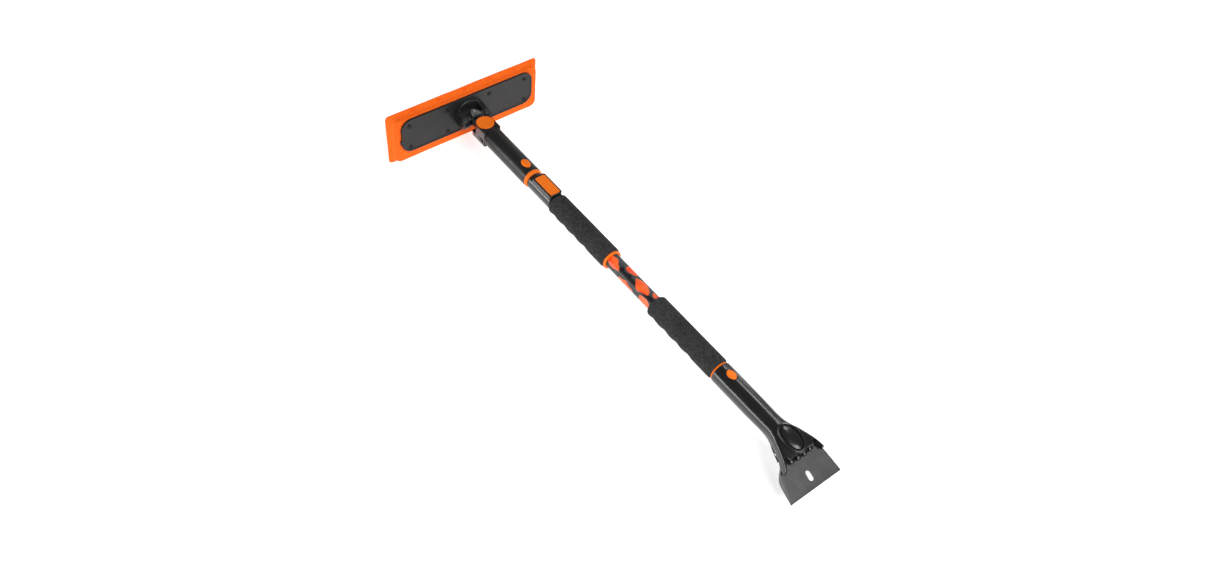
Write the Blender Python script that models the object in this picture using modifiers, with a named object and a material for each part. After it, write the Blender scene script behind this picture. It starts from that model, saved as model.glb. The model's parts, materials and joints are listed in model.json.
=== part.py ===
"""Two-in-one snow tool: swivelling foam push head, telescopic pole, ice scraper.

Metres, +Z up. X runs along the pole, towards the scraper. Y is the head's long axis.
The sizes below are in millimetres, and the shapes are laid out in the pole's own
coordinates: X = 0 on the swivel axis, Z = 0 on the pole's axis. BASE then moves the whole
tool so that the world's origin is the middle of its underside.
"""
import bpy
import bmesh
import math
from mathutils import Matrix, Vector

MM = 0.001
SIDES = 32                    # sides of a large round piece
SIDES_SMALL = 12              # sides of a screw, a pin or a small hole
GAP = 0.3                     # clearance between neighbouring pieces
SHARP = math.radians(35)      # edges sharper than this stay crisp in the shading

# pole
TUBE_R = 12.7                 # outer tube, 25.4 mm across
TUBE_BORE = 11.0
INNER_R = 10.7
INNER_BORE = 9.5
INNER_X = (147.8, 545.0)
OUTER_X = (170.3, 614.1)
GRIP_R = 18.2
SLEEVE_BORE = 13.0            # bore of everything that slips over the outer tube
GRIP_UP = (211.2, 357.0)
COLLAR_X = (357.4, 361.0)
GRIP_LOW = (468.0, 613.8)
NECK_R = 17.8                 # head socket and scraper neck
NECK_BORE = 16.1
PLUG_R = 15.8                 # connector plugs inside them

# swivel housing
BOX_X = (-17.0, 23.7)
BOX_HALF = 17.0
BOX_Z = (-15.7, 14.5)
FORK_Z = (-6.5, 5.5)
BUTTON_R = 15.5
BUTTON_FLOOR = 8.8
AXLE_R = 6.25

# tilt joint and push head
TILT_X = -34.0
PIN_R = 3.0
LUG_R = 12.0
PLATE_X = -55.2               # front face of the backing plate
PLATE_FACE = PLATE_X + 3.0    # its rear face, inside the rim
PLATE_W = 266.0
PLATE_H = 69.0
PLATE_Z = 1.0
PAD_Z = -7.0
PAD_BACK = -55.5
PAD_FRONT = -70.5
PAD_W = 305.0
PAD_H = 104.0
SCREW_Y = (-117.0, -43.0, 43.0, 117.0)
SCREW_Z = (-24.0, 22.0)

# tilt catch, and the saddle of the knuckle under it; the saddle clears the housing's corners
SADDLE_X = (-41.4, -23.4)
CATCH_SCREW_X = -35.5
CATCH_Z = (11.9, 14.4)

# extension lock
LOCK_X = (148.2, 210.6)
LOCK_R = 15.7
HUMP_TOP = 18.1
ROCK_X = 184.0                # rocker pivot
ROCK_Z = 16.4
SHOE_X = (163.0, 169.0)
ROCK_SPRING_X = 201.0
LOCK_SCREW_X = (190.0, 203.0)

# snap buttons and rivets
SNAP_HEAD_X = 122.2
SNAP_SCR_X = 638.5
RIVET_HEAD_X = 176.0
RIVET_SCR_X = 600.0
SOCKET_SCREW_X = 31.0

# scraper
TIP_X = 827.6
TIP_Z = -30.7
BLADE_ANGLE = math.radians(27.0)
SEAT_X = 772.0                # origin of the blade seat's frame
BLADE_SCREW_Y = 13.0
TEETH = 4
TOOTH_PITCH = 12.0

BASE = Matrix.Translation(Vector((-(TIP_X + PAD_FRONT) / 2, 0, PAD_H / 2 - PAD_Z)) * MM)

# ---------------------------------------------------------------- scene set-up
for old in list(bpy.data.objects):
    bpy.data.objects.remove(old, do_unlink=True)

PARTS = bpy.data.collections.new("snow_tool")
CUTTERS = bpy.data.collections.new("cutters")
bpy.context.scene.collection.children.link(PARTS)
bpy.context.scene.collection.children.link(CUTTERS)
CUTTERS.hide_render = True


def material(name, colour, rough, metal=0.0):
    mat = bpy.data.materials.new(name)
    mat.use_nodes = True
    bsdf = mat.node_tree.nodes["Principled BSDF"]
    bsdf.inputs["Base Color"].default_value = (*colour, 1.0)
    bsdf.inputs["Roughness"].default_value = rough
    bsdf.inputs["Metallic"].default_value = metal
    mat.diffuse_color = (*colour, 1.0)
    return mat


ORANGE_FOAM = material("orange_foam", (1.0, 0.24, 0.02), 0.85)
GREY_FOAM = material("grey_foam", (0.045, 0.045, 0.048), 0.9)
SATIN_BLACK = material("satin_black", (0.02, 0.02, 0.022), 0.45)
GLOSS_BLACK = material("gloss_black", (0.012, 0.012, 0.013), 0.2)
ORANGE = material("orange_plastic", (1.0, 0.22, 0.01), 0.4)
CAMO = material("camouflage_film", (0.5, 0.16, 0.03), 0.35)
STEEL = material("zinc_plated_steel", (0.6, 0.6, 0.6), 0.3, 1.0)
BLACK_STEEL = material("black_oxide_steel", (0.05, 0.05, 0.055), 0.4, 1.0)
CAST = material("cast_zinc", (0.45, 0.46, 0.48), 0.4, 1.0)
ALUMINIUM = material("aluminium", (0.7, 0.71, 0.72), 0.3, 1.0)
BLADE_GREY = material("blade_grey", (0.07, 0.07, 0.075), 0.4)
NYLON = material("nylon", (0.8, 0.78, 0.7), 0.5)
RUBBER = material("rubber", (0.03, 0.03, 0.03), 0.8)

# ---------------------------------------------------------------- builders
# Each builder takes millimetres. A piece with no material is a cutter.
TURN = {                      # takes local Z to the named axis
    "X": Matrix.Rotation(math.radians(90), 4, "Y"),
    "Y": Matrix.Rotation(math.radians(-90), 4, "X"),
    "Z": Matrix.Identity(4),
}
PLACED = {}                   # each object's world matrix


def metres(matrix):
    """The same placement with its shift turned from millimetres into metres."""
    out = matrix.copy()
    out.translation = matrix.translation * MM
    return out


def place(name, data, mat, matrix=Matrix.Identity(4)):
    obj = bpy.data.objects.new(name, data)
    PLACED[name] = BASE @ metres(matrix)
    obj.matrix_world = PLACED[name]
    if mat is None:
        CUTTERS.objects.link(obj)
        obj.hide_render = True
        obj.display_type = "WIRE"
    else:
        PARTS.objects.link(obj)
        data.materials.append(mat)
    return obj


def finish(name, bm, mat, matrix=Matrix.Identity(4)):
    """Turn a bmesh in millimetres into a placed object."""
    bmesh.ops.recalc_face_normals(bm, faces=bm.faces)
    bmesh.ops.scale(bm, vec=(MM, MM, MM), verts=bm.verts)
    mesh = bpy.data.meshes.new(name)
    bm.to_mesh(mesh)
    bm.free()
    mesh.shade_smooth()
    mesh.set_sharp_from_angle(angle=SHARP)
    return place(name, mesh, mat, matrix)


def across(axis, centre):
    """A shift across the axis, given as the two coordinates that the axis leaves."""
    u, v = centre
    return Matrix.Translation({"X": (0, u, v), "Y": (u, 0, v), "Z": (u, v, 0)}[axis])


def block(name, lo, hi, mat=None, corner=0.0, axis="Z", rims=(0.0, 0.0), steps=5,
          move=Matrix.Identity(4)):
    """A box between two corners. Its edges along the axis get a radius, and its low and
    high ends a bevelled rim."""
    bm = bmesh.new()
    bmesh.ops.create_cube(bm, size=1.0)
    size = Vector(hi) - Vector(lo)
    bmesh.ops.scale(bm, vec=size, verts=bm.verts)
    bmesh.ops.translate(bm, vec=(Vector(hi) + Vector(lo)) / 2, verts=bm.verts)
    k = "XYZ".index(axis)
    if corner:
        along = [e for e in bm.edges if abs(e.verts[0].co[k] - e.verts[1].co[k]) > size[k] / 2]
        bmesh.ops.bevel(bm, geom=along, offset=corner, segments=steps, profile=0.5,
                        affect="EDGES")
    for end, width in zip((lo[k], hi[k]), rims):
        if width:
            rim = [e for e in bm.edges if all(abs(v.co[k] - end) < 0.001 for v in e.verts)]
            bmesh.ops.bevel(bm, geom=rim, offset=width, segments=1, affect="EDGES")
    return finish(name, bm, mat, move)


def rod(name, lo, hi, radius, mat=None, axis="Z", centre=(0, 0), sides=SIDES_SMALL, squash=1.0,
        move=Matrix.Identity(4)):
    """A cylinder along an axis; squash flattens it to an oval."""
    bm = bmesh.new()
    bmesh.ops.create_cone(bm, cap_ends=True, segments=sides, radius1=radius, radius2=radius,
                          depth=hi - lo)
    bmesh.ops.scale(bm, vec=(1, squash, 1), verts=bm.verts)
    bmesh.ops.translate(bm, vec=(0, 0, (lo + hi) / 2), verts=bm.verts)
    return finish(name, bm, mat, move @ across(axis, centre) @ TURN[axis])


def turned(name, profile, mat=None, axis="Z", centre=(0, 0), sides=SIDES, squash=1.0,
           move=Matrix.Identity(4)):
    """A profile of (along, radius) swept round the axis. It starts and ends on the axis, or
    it is a closed loop round a bore."""
    down = profile[::-1]
    mesh = bpy.data.meshes.new(name)
    edges = [(i, i + 1) for i in range(len(down) - 1)]
    if profile[0][1] > 0:
        edges.append((len(down) - 1, 0))
    mesh.from_pydata([(r * MM, 0, a * MM) for a, r in down], edges, [])
    flat = Matrix.Diagonal((1, squash, 1, 1))
    obj = place(name, mesh, mat, move @ across(axis, centre) @ TURN[axis] @ flat)
    screw = obj.modifiers.new("turn", "SCREW")
    screw.angle = 2 * math.pi
    screw.steps = sides
    screw.render_steps = sides
    screw.use_merge_vertices = True
    screw.merge_threshold = 0.00001
    return obj


def tube(name, span, radius, bore, mat, ease=0.3):
    """A tube along the pole with eased ends."""
    x0, x1 = span
    return turned(name, [(x0, bore), (x0, radius - ease), (x0 + ease, radius),
                         (x1 - ease, radius), (x1, radius - ease), (x1, bore)], mat, "X")


def prism(name, outline, lo, hi, mat=None, axis="Z", rims=(0.0, 0.0)):
    """A flat outline, given in the two coordinates that the axis leaves, drawn out from lo
    to hi."""
    bm = bmesh.new()
    place_at = {"X": lambda u, v: (lo, u, v), "Y": lambda u, v: (u, lo, v),
                "Z": lambda u, v: (u, v, lo)}[axis]
    face = bm.faces.new([bm.verts.new(place_at(u, v)) for u, v in outline])
    drawn = bmesh.ops.extrude_face_region(bm, geom=[face])
    top = [g for g in drawn["geom"] if isinstance(g, bmesh.types.BMVert)]
    k = "XYZ".index(axis)
    shift = Vector((0, 0, 0))
    shift[k] = hi - lo
    bmesh.ops.translate(bm, vec=shift, verts=top)
    for end, width in zip((lo, hi), rims):
        if width:
            rim = [e for e in bm.edges if all(abs(v.co[k] - end) < 0.001 for v in e.verts)]
            bmesh.ops.bevel(bm, geom=rim, offset=width, segments=1, affect="EDGES")
    return finish(name, bm, mat)


def loft(name, stations, mat=None):
    """A skin through unlike sections along X, closed at both ends."""
    bm = bmesh.new()
    rings = [[bm.verts.new((x, y, z)) for y, z in ring] for x, ring in stations]
    for a, b in zip(rings, rings[1:]):
        for i in range(len(a)):
            j = (i + 1) % len(a)
            bm.faces.new((a[i], a[j], b[j], b[i]))
    bm.faces.new(rings[0])
    bm.faces.new(rings[-1])
    return finish(name, bm, mat)


def coil(name, centre, lo, hi, radius, wire, turns, mat, per_turn=8):
    """A compression spring standing along Z."""
    curve = bpy.data.curves.new(name, "CURVE")
    curve.dimensions = "3D"
    curve.bevel_depth = wire * MM
    curve.bevel_resolution = 1
    curve.render_resolution_u = 0
    curve.use_fill_caps = True
    count = int(turns * per_turn) + 1
    spline = curve.splines.new("POLY")
    spline.points.add(count - 1)
    for i, point in enumerate(spline.points):
        t = 2 * math.pi * i / per_turn
        z = lo + wire + (hi - lo - 2 * wire) * i / (count - 1)
        point.co = (radius * math.cos(t) * MM, radius * math.sin(t) * MM, z * MM, 1)
    return place(name, curve, mat, across("Z", centre))


def leaf(name, path, width, thick, mat):
    """A bent leaf spring: a path of (x, z) drawn out along Y and given a thickness."""
    bm = bmesh.new()
    verts = [bm.verts.new((x, -width / 2, z)) for x, z in path]
    edges = [bm.edges.new(pair) for pair in zip(verts, verts[1:])]
    drawn = bmesh.ops.extrude_edge_only(bm, edges=edges)
    far = [g for g in drawn["geom"] if isinstance(g, bmesh.types.BMVert)]
    bmesh.ops.translate(bm, vec=(0, width, 0), verts=far)
    obj = finish(name, bm, mat)
    thickness = obj.modifiers.new("thickness", "SOLIDIFY")
    thickness.thickness = thick * MM
    thickness.offset = 0
    return obj


def combine(obj, tool, operation):
    mod = obj.modifiers.new(tool.name, "BOOLEAN")
    mod.operation = operation
    mod.solver = "EXACT"
    mod.object = tool
    if tool.parent is None:
        tool.parent = obj
        tool.matrix_parent_inverse = PLACED[obj.name].inverted()


def cut(obj, tool):
    combine(obj, tool, "DIFFERENCE")


def join(obj, tool):
    combine(obj, tool, "UNION")


def arc(cx, cy, radius, start, end, steps):
    """Points on an arc, in degrees, both ends included."""
    return [(cx + radius * math.cos(math.radians(start + (end - start) * i / steps)),
             cy + radius * math.sin(math.radians(start + (end - start) * i / steps)))
            for i in range(steps + 1)]


def rounded(half_w, half_h, radius, cz, steps=6):
    """A rounded rectangle in (y, z), centred on y = 0."""
    pts = []
    for k, (sy, sz) in enumerate(((1, 1), (-1, 1), (-1, -1), (1, -1))):
        pts += arc(sy * (half_w - radius), cz + sz * (half_h - radius), radius,
                   90 * k, 90 * k + 90, steps)
    return pts


# ---------------------------------------------------------------- foam push head
# distance from the pad's front face, how far its edge stands inside the widest outline,
# corner radius
FLARE = [(0.0, 1.6, 6), (1.3, 0.0, 6), (2.6, 0.8, 6.5), (4.6, 3.2, 8), (7.5, 5.6, 10),
         (10.8, 7.0, 11), (13.8, 7.5, 12), (15.0, 8.7, 12)]
pad = loft("foam_pad", [(PAD_FRONT + d, rounded(PAD_W / 2 - inset, PAD_H / 2 - inset, r, PAD_Z))
                        for d, inset, r in FLARE], ORANGE_FOAM)
cut(pad, block("pad_pocket", (PAD_BACK - 6, -124.3, PLATE_Z - 27.3),
               (PAD_BACK + 5, 124.3, PLATE_Z + 27.3), corner=10.3, axis="X"))
insert = block("pad_insert", (PAD_BACK - 5.7, -124, PLATE_Z - 27), (PAD_BACK, 124, PLATE_Z + 27),
               NYLON, corner=10, axis="X")

HALF_W = PLATE_W / 2
HALF_H = PLATE_H / 2
plate = block("backing_plate", (PLATE_X, -HALF_W, PLATE_Z - HALF_H),
              (PLATE_X + 4, HALF_W, PLATE_Z + HALF_H), SATIN_BLACK, corner=20, axis="X",
              rims=(0.5, 0.6), steps=6)
RIM = 2.8
cut(plate, block("plate_dish", (PLATE_FACE, -HALF_W + RIM, PLATE_Z - HALF_H + RIM),
                 (PLATE_FACE + 4, HALF_W - RIM, PLATE_Z + HALF_H - RIM), corner=20 - RIM, axis="X"))
join(plate, block("plate_tab", (PLATE_X + 0.5, -HALF_W - 2.6, -14), (PLATE_FACE, -HALF_W + 2, -4)))

number = 0
for y in SCREW_Y:
    for z in SCREW_Z:
        number += 1
        cut(plate, rod("plate_seat_%d" % number, PLATE_FACE - 1.2, PLATE_FACE + 3, 4.4,
                       axis="X", centre=(y, z)))
        cut(plate, rod("plate_hole_%d" % number, PLATE_X - 3, PLATE_FACE + 3, 1.9,
                       axis="X", centre=(y, z)))
        cut(insert, rod("insert_hole_%d" % number, PAD_BACK - 4.5, PAD_BACK + 3, 1.9,
                        axis="X", centre=(y, z)))
        turned("plate_screw_%d" % number, [
            (PAD_BACK - 4.2, 0), (PAD_BACK - 4.2, 1.0), (PAD_BACK - 3.2, 1.55),
            (PLATE_FACE - 0.9, 1.55), (PLATE_FACE - 0.9, 3.6), (PLATE_FACE + 0.3, 3.4),
            (PLATE_FACE + 0.9, 2.2), (PLATE_FACE + 0.9, 0)],
            BLACK_STEEL, "X", (y, z), SIDES_SMALL)

BOSS_X = PLATE_FACE + GAP
hub = turned("hub_bracket", [
    (BOSS_X, 0), (BOSS_X, 27.0), (BOSS_X + 0.8, 27.0), (BOSS_X + 1.8, 26.0),
    (BOSS_X + 2.2, 24.0), (BOSS_X + 2.2, 0)], SATIN_BLACK, "X")
LUG = [(BOSS_X + 1, -15.0)] + arc(TILT_X, 0, LUG_R, -80, 80, 12) + [(BOSS_X + 1, 15.0)]
join(hub, prism("lug_left", LUG, -26.5, -17.0, axis="Y", rims=(0.8, 0)))
join(hub, prism("lug_right", LUG, 17.0, 26.5, axis="Y", rims=(0, 0.8)))
cut(hub, rod("lug_bore", -30, 30, PIN_R + GAP, axis="Y", centre=(TILT_X, 0), sides=20))

turned("tilt_pin", [
    (-29.4, 0), (-29.4, 4.0), (-28.6, 5.2), (-26.9, 5.2), (-26.9, PIN_R), (28.6, PIN_R),
    (29.2, 2.4), (29.2, 0)], BLACK_STEEL, "Y", (TILT_X, 0), 20)
turned("tilt_pin_cap", [
    (26.8, PIN_R + GAP), (26.8, 5.4), (28.0, 5.4), (28.6, 4.8), (28.6, PIN_R + GAP)],
    BLACK_STEEL, "Y", (TILT_X, 0), 20)

# ---------------------------------------------------------------- knuckle and catch
knuckle = turned("tilt_knuckle", [
    (-16.6, 0), (-16.6, 10.2), (-15.8, 11.0), (15.8, 11.0), (16.6, 10.2), (16.6, 0)],
    SATIN_BLACK, "Y", (TILT_X, 0), 28)
join(knuckle, block("knuckle_neck", (-32, -6.3, -6.0), (-4, 6.3, 5.0)))
join(knuckle, rod("knuckle_eye", -6.0, 5.0, 13.0, sides=32))
join(knuckle, block("knuckle_saddle", (SADDLE_X[0], -11, -2), (SADDLE_X[1], 11, 11.5), corner=3,
                    rims=(0, 0.8), steps=3))
cut(knuckle, rod("knuckle_bore", -30, 30, PIN_R + GAP, axis="Y", centre=(TILT_X, 0), sides=20))
cut(knuckle, rod("knuckle_eye_bore", -10, 10, AXLE_R + 0.35, sides=28))
cut(knuckle, rod("catch_screw_hole", 4.5, 20, 2.0, centre=(CATCH_SCREW_X, 0)))

# a rounded eye at the head end, widening to the ribbed thumb edge
CATCH = arc(CATCH_SCREW_X - 1, 0, 5.0, 110, 250, 8) + [
    (-30.5, -8.3), (-25.5, -8.3), (-25.5, 8.3), (-30.5, 8.3)]
catch = prism("tilt_catch", CATCH, CATCH_Z[0], CATCH_Z[1], CAST, rims=(0, 0.5))
SLOT = arc(CATCH_SCREW_X - 2.2, 0, 2.3, 90, 270, 8) + arc(CATCH_SCREW_X + 0.2, 0, 2.3, -90, 90, 8)
cut(catch, prism("catch_slot", SLOT, 10, 16))
for i in range(3):
    x = -30.2 + 1.5 * i
    cut(catch, block("catch_groove_%d" % (i + 1), (x, -7, CATCH_Z[1] - 0.7), (x + 0.7, 7, 16)))
turned("catch_screw", [
    (5.0, 0), (5.0, 1.7), (14.7, 1.7), (14.7, 3.3), (15.5, 3.3), (16.1, 2.2), (16.1, 0)],
    STEEL, "Z", (CATCH_SCREW_X, 0), 16)

# ---------------------------------------------------------------- swivel housing
housing = block("swivel_housing", (BOX_X[0], -BOX_HALF, BOX_Z[0]), (BOX_X[1], BOX_HALF, BOX_Z[1]),
                GLOSS_BLACK, corner=3, rims=(1.0, 0.8), steps=4)
join(housing, rod("housing_spigot", 20, 38, PLUG_R - 0.1, axis="X", sides=SIDES))
cut(housing, block("fork_chamber", (-20, -14, FORK_Z[0]), (16, 14, FORK_Z[1])))
cut(housing, block("fork_mouth", (-20, -20, FORK_Z[0]), (-4, 20, FORK_Z[1])))
cut(housing, rod("button_well", BUTTON_FLOOR, 20, BUTTON_R + GAP, sides=SIDES))
cut(housing, rod("axle_bore", -20, 20, AXLE_R + 0.35, sides=28))
cut(housing, rod("axle_seat", -20, -13.9, 9.5, sides=28))
WINDOW = [(5.0, -3.4), (18.5, -3.4), (18.5, -12.5)]
cut(housing, prism("side_window_left", WINDOW, -20, -14.8, axis="Y"))
cut(housing, prism("side_window_right", WINDOW, 14.8, 20, axis="Y"))

turned("swivel_axle", [
    (-15.5, 0), (-15.5, 8.6), (-15.0, 9.2), (-14.2, 9.2), (-14.2, AXLE_R), (8.5, AXLE_R),
    (8.5, 4.4), (-11.0, 4.4), (-11.0, 0)], STEEL, sides=28)
turned("swivel_button", [
    (3.0, 0), (3.0, 4.0), (11.5, 4.0), (11.5, BUTTON_R), (15.0, BUTTON_R),
    (15.6, BUTTON_R - 0.7), (15.7, 12.5), (15.3, 9.0), (15.1, 4.0), (15.1, 0)], ORANGE)
coil("swivel_button_spring", (0, 0), -10.7, 2.7, 3.4, 0.5, 5.5, STEEL)

# ---------------------------------------------------------------- head socket
socket = tube("head_socket", (24.0, 141.0), NECK_R, NECK_BORE, SATIN_BLACK, 0.6)
cut(socket, rod("head_snap_hole", 5, 25, 10.6, centre=(SNAP_HEAD_X, 0), sides=24, squash=0.68))
cut(socket, rod("socket_screw_hole", -25, -5, 1.9, centre=(SOCKET_SCREW_X, 0)))
cut(housing, rod("spigot_screw_hole", -25, -7.5, 1.9, centre=(SOCKET_SCREW_X, 0)))
turned("socket_screw", [
    (-19.9, 0), (-19.9, 1.8), (-19.3, 2.9), (-18.1, 2.9), (-18.1, 1.55), (-9.0, 1.55),
    (-8.2, 0.9), (-8.2, 0)], STEEL, "Z", (SOCKET_SCREW_X, 0), SIDES_SMALL)


def snap_button(name, x, radius, squash):
    """Oval button with a captive flange under the tube's wall."""
    return turned(name, [
        (12.0, 0), (12.0, radius + 1.4), (13.3, radius + 1.4), (13.3, radius), (17.6, radius),
        (18.5, radius - 0.8), (18.9, radius - 2.6), (18.9, 0)], ORANGE, "Z", (x, 0), 24, squash)


snap_button("head_release_button", SNAP_HEAD_X, 10.2, 0.67)

# ---------------------------------------------------------------- inner pole
connector = turned("head_connector", [
    (92.0, 0), (92.0, 14.6), (93.2, PLUG_R), (141.3, PLUG_R), (141.3, 16.6), (142.0, 17.2),
    (146.6, 17.2), (147.5, 16.4), (147.5, 9.2), (184.0, 9.2), (185.0, 8.2), (185.0, 0)],
    ORANGE, "X")
cut(connector, block("head_channel", (85, -9.2, 8.5), (136, 9.2, 25)))
cut(connector, rod("connector_rivet_hole", -20, 20, 1.8, axis="Y", centre=(RIVET_HEAD_X, 0)))
leaf("head_snap_spring", [(99, 9.1), (112, 9.15), (118, 10.0), (122, 11.2), (126, 10.0),
                          (131, 9.15)], 8.0, 0.5, STEEL)

inner = tube("inner_tube", INNER_X, INNER_R, INNER_BORE, ALUMINIUM)
cut(inner, rod("inner_rivet_hole", -20, 20, 1.8, axis="Y", centre=(RIVET_HEAD_X, 0)))
rod("connector_rivet", -10.4, 10.4, 1.5, ALUMINIUM, "Y", (RIVET_HEAD_X, 0))
turned("glide_bush", [
    (538, 6.5), (538, 9.2), (545.3, 9.2), (545.3, 10.6), (561, 10.6), (562, 9.8), (562, 6.5)],
    NYLON, "X", sides=28)

# ---------------------------------------------------------------- extension lock
lock = turned("lock_housing", [
    (LOCK_X[0], 0), (LOCK_X[0], 14.2), (LOCK_X[0] + 1.2, 15.4), (LOCK_X[0] + 3, LOCK_R),
    (LOCK_X[1] - 3, LOCK_R), (LOCK_X[1] - 1, 15.2), (LOCK_X[1], 14.2), (LOCK_X[1], 0)],
    GLOSS_BLACK, "X")
join(lock, block("lock_hump", (156.4, -12.6, 6), (209.6, 12.6, HUMP_TOP), corner=5, rims=(0, 1.2)))
cut(lock, rod("lock_bore_front", 140, 180, 11.2, axis="X", sides=SIDES))
cut(lock, rod("lock_bore_rear", 170, 220, SLEEVE_BORE, axis="X", sides=SIDES))
cut(lock, block("rocker_well", (ROCK_X - 23.6, -9.9, 14), (ROCK_X + 23.6, 9.9, 25), corner=3.4))
cut(lock, block("shoe_window", (SHOE_X[0] - 1, -5.2, 5), (SHOE_X[1] + 0.7, 5.2, 15)))
cut(lock, rod("rocker_pin_hole", -20, 20, 1.3, axis="Y", centre=(ROCK_X, ROCK_Z)))

rocker = block("extension_button", (ROCK_X - 23, -9.4, 16.1), (ROCK_X + 23, 9.4, 19.2), ORANGE,
               corner=3, rims=(0, 0.7))
join(rocker, block("rocker_rib", (ROCK_X - 2.4, -9, 14.7), (ROCK_X + 2.4, 9, 16.5)))
cut(rocker, rod("rocker_bore", -20, 20, 1.3, axis="Y", centre=(ROCK_X, ROCK_Z)))
cut(rocker, block("shoe_socket", (SHOE_X[0] - GAP, -4.8, 15), (SHOE_X[1] + GAP, 4.8, 17.3)))
cut(rocker, rod("spring_socket", 15, 17.9, 2.7, centre=(ROCK_SPRING_X, 0), sides=16))
shoe = block("lock_shoe", (SHOE_X[0], -4.5, 8.8), (SHOE_X[1], 4.5, 17.0), RUBBER)
cut(shoe, rod("shoe_saddle", 150, 180, INNER_R + GAP, axis="X", sides=SIDES))
rod("rocker_pin", -12.2, 12.2, 1.0, STEEL, "Y", (ROCK_X, ROCK_Z))
coil("extension_spring", (ROCK_SPRING_X, 0), 14.3, 17.6, 1.9, 0.3, 3.5, STEEL)

# ---------------------------------------------------------------- outer pole
outer = tube("outer_tube", OUTER_X, TUBE_R, TUBE_BORE, CAMO)
for number, x in enumerate(LOCK_SCREW_X, 1):
    cut(lock, rod("lock_screw_hole_%d" % number, -25, -5, 1.8, centre=(x, 0)))
    cut(outer, rod("tube_screw_hole_%d" % number, -25, -5, 1.8, centre=(x, 0)))
    turned("lock_screw_%d" % number, [
        (-17.6, 0), (-17.6, 1.8), (-17.0, 2.8), (-16.0, 2.8), (-16.0, 1.5), (-11.4, 1.5),
        (-11.4, 0)], STEEL, "Z", (x, 0), SIDES_SMALL)


def grip(name, span):
    """Foam sleeve with rolled ends."""
    x0, x1 = span
    return turned(name, [
        (x0, SLEEVE_BORE), (x0, GRIP_R - 3.2), (x0 + 0.8, GRIP_R - 1.6), (x0 + 2.4, GRIP_R - 0.5),
        (x0 + 5.0, GRIP_R), (x1 - 5.0, GRIP_R), (x1 - 2.4, GRIP_R - 0.5),
        (x1 - 0.8, GRIP_R - 1.6), (x1, GRIP_R - 3.2), (x1, SLEEVE_BORE)], GREY_FOAM, "X")


grip("foam_grip_upper", GRIP_UP)
grip("foam_grip_lower", GRIP_LOW)
tube("grip_collar", COLLAR_X, 16.8, SLEEVE_BORE, ORANGE, 0.8)

plug = turned("scraper_connector", [
    (572.0, 0), (572.0, 9.8), (573.0, 10.7), (614.4, 10.7), (614.4, 16.9), (615.0, 17.5),
    (616.8, 17.5), (617.2, 17.1), (617.2, PLUG_R), (666.8, PLUG_R), (668.0, 14.6), (668.0, 0)],
    ORANGE, "X")
cut(plug, block("scraper_channel", (626, -9.2, 8.5), (675, 9.2, 25)))
cut(plug, rod("plug_rivet_hole", -20, 20, 1.8, axis="Y", centre=(RIVET_SCR_X, 0)))
cut(outer, rod("outer_rivet_hole", -20, 20, 1.8, axis="Y", centre=(RIVET_SCR_X, 0)))
rod("handle_rivet", -12.4, 12.4, 1.5, ALUMINIUM, "Y", (RIVET_SCR_X, 0))
leaf("scraper_snap_spring", [(629, 9.15), (634, 10.0), (638, 11.2), (642, 10.0), (648, 9.15),
                             (661, 9.1)], 8.0, 0.5, STEEL)
snap_button("scraper_release_button", SNAP_SCR_X, 9.0, 0.69)

# ---------------------------------------------------------------- scraper body
NECK_ROUND = (NECK_R, NECK_R, -NECK_R, 0.0, 2.0, 2.0)
# x, half width, crown, underside, height of the widest line, squareness above and below it
BODY = [
    (617.6, 17.4, 17.4, -17.4, 0.0, 2.0, 2.0),
    (618.2, *NECK_ROUND), (650.0, *NECK_ROUND), (690.0, *NECK_ROUND),
    (708.0, 17.4, 17.5, -17.3, 0.0, 2.0, 2.0),
    (722.0, 17.2, 17.3, -16.4, 0.0, 2.0, 2.0),
    (732.0, 17.5, 17.2, -15.4, 0.0, 2.1, 2.2),
    (740.0, 18.8, 17.0, -14.0, 0.2, 2.3, 2.5),
    (748.0, 21.4, 16.4, -12.0, 0.4, 2.7, 3.0),
    (756.0, 24.8, 15.4, -9.8, 0.6, 3.8, 4.0),
    (765.0, 28.4, 14.2, -7.6, 0.6, 5.0, 5.0),
    (775.0, 32.2, 12.6, -6.6, 0.4, 6.0, 6.0),
    (785.0, 36.0, 10.6, -6.5, -0.4, 6.0, 6.0),
    (791.0, 38.2, 9.0, -6.5, -1.4, 5.0, 6.0),
    (795.5, 39.8, 7.4, -6.4, -2.4, 4.0, 6.0),
]


def body_ring(half_w, crown, under, widest, square_up, square_down):
    """A crowned section above the widest line and a boxier one below it."""
    pts = []
    for i in range(SIDES):
        t = 2 * math.pi * (i + 0.5) / SIDES
        c, s = math.cos(t), math.sin(t)
        power = 2 / (square_up if s > 0 else square_down)
        height = crown - widest if s > 0 else widest - under
        pts.append((half_w * math.copysign(abs(c) ** power, c),
                    widest + height * math.copysign(abs(s) ** power, s)))
    return pts


body = loft("scraper_body", [(row[0], body_ring(*row[1:])) for row in BODY], GLOSS_BLACK)
cut(body, rod("neck_bore", 610, 669, NECK_BORE, axis="X", sides=SIDES))
cut(body, rod("scraper_snap_hole", 5, 25, 9.4, centre=(SNAP_SCR_X, 0), sides=24, squash=0.7))

# thumb rest: an oval ring stands on the sloping crown, with a dished seat inside it
REST = Matrix.Translation((764.0, 0, 13.9)) @ Matrix.Rotation(math.radians(9.0), 4, "Y")
join(body, turned("rest_ring", [(-5, 0), (-5, 24.6), (1.2, 24.6), (2.2, 23.4), (2.2, 0)],
                  sides=28, squash=0.62, move=REST))
cut(body, rod("rest_seat", -0.6, 8, 21.4, sides=28, squash=0.59, move=REST))
turned("thumb_rest", [
    (-0.3, 0), (-0.3, 21.0), (2.0, 21.0), (3.2, 18.6), (4.3, 13.0), (4.8, 5.0), (4.8, 0)],
    GLOSS_BLACK, sides=28, squash=0.58, move=REST)

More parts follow.
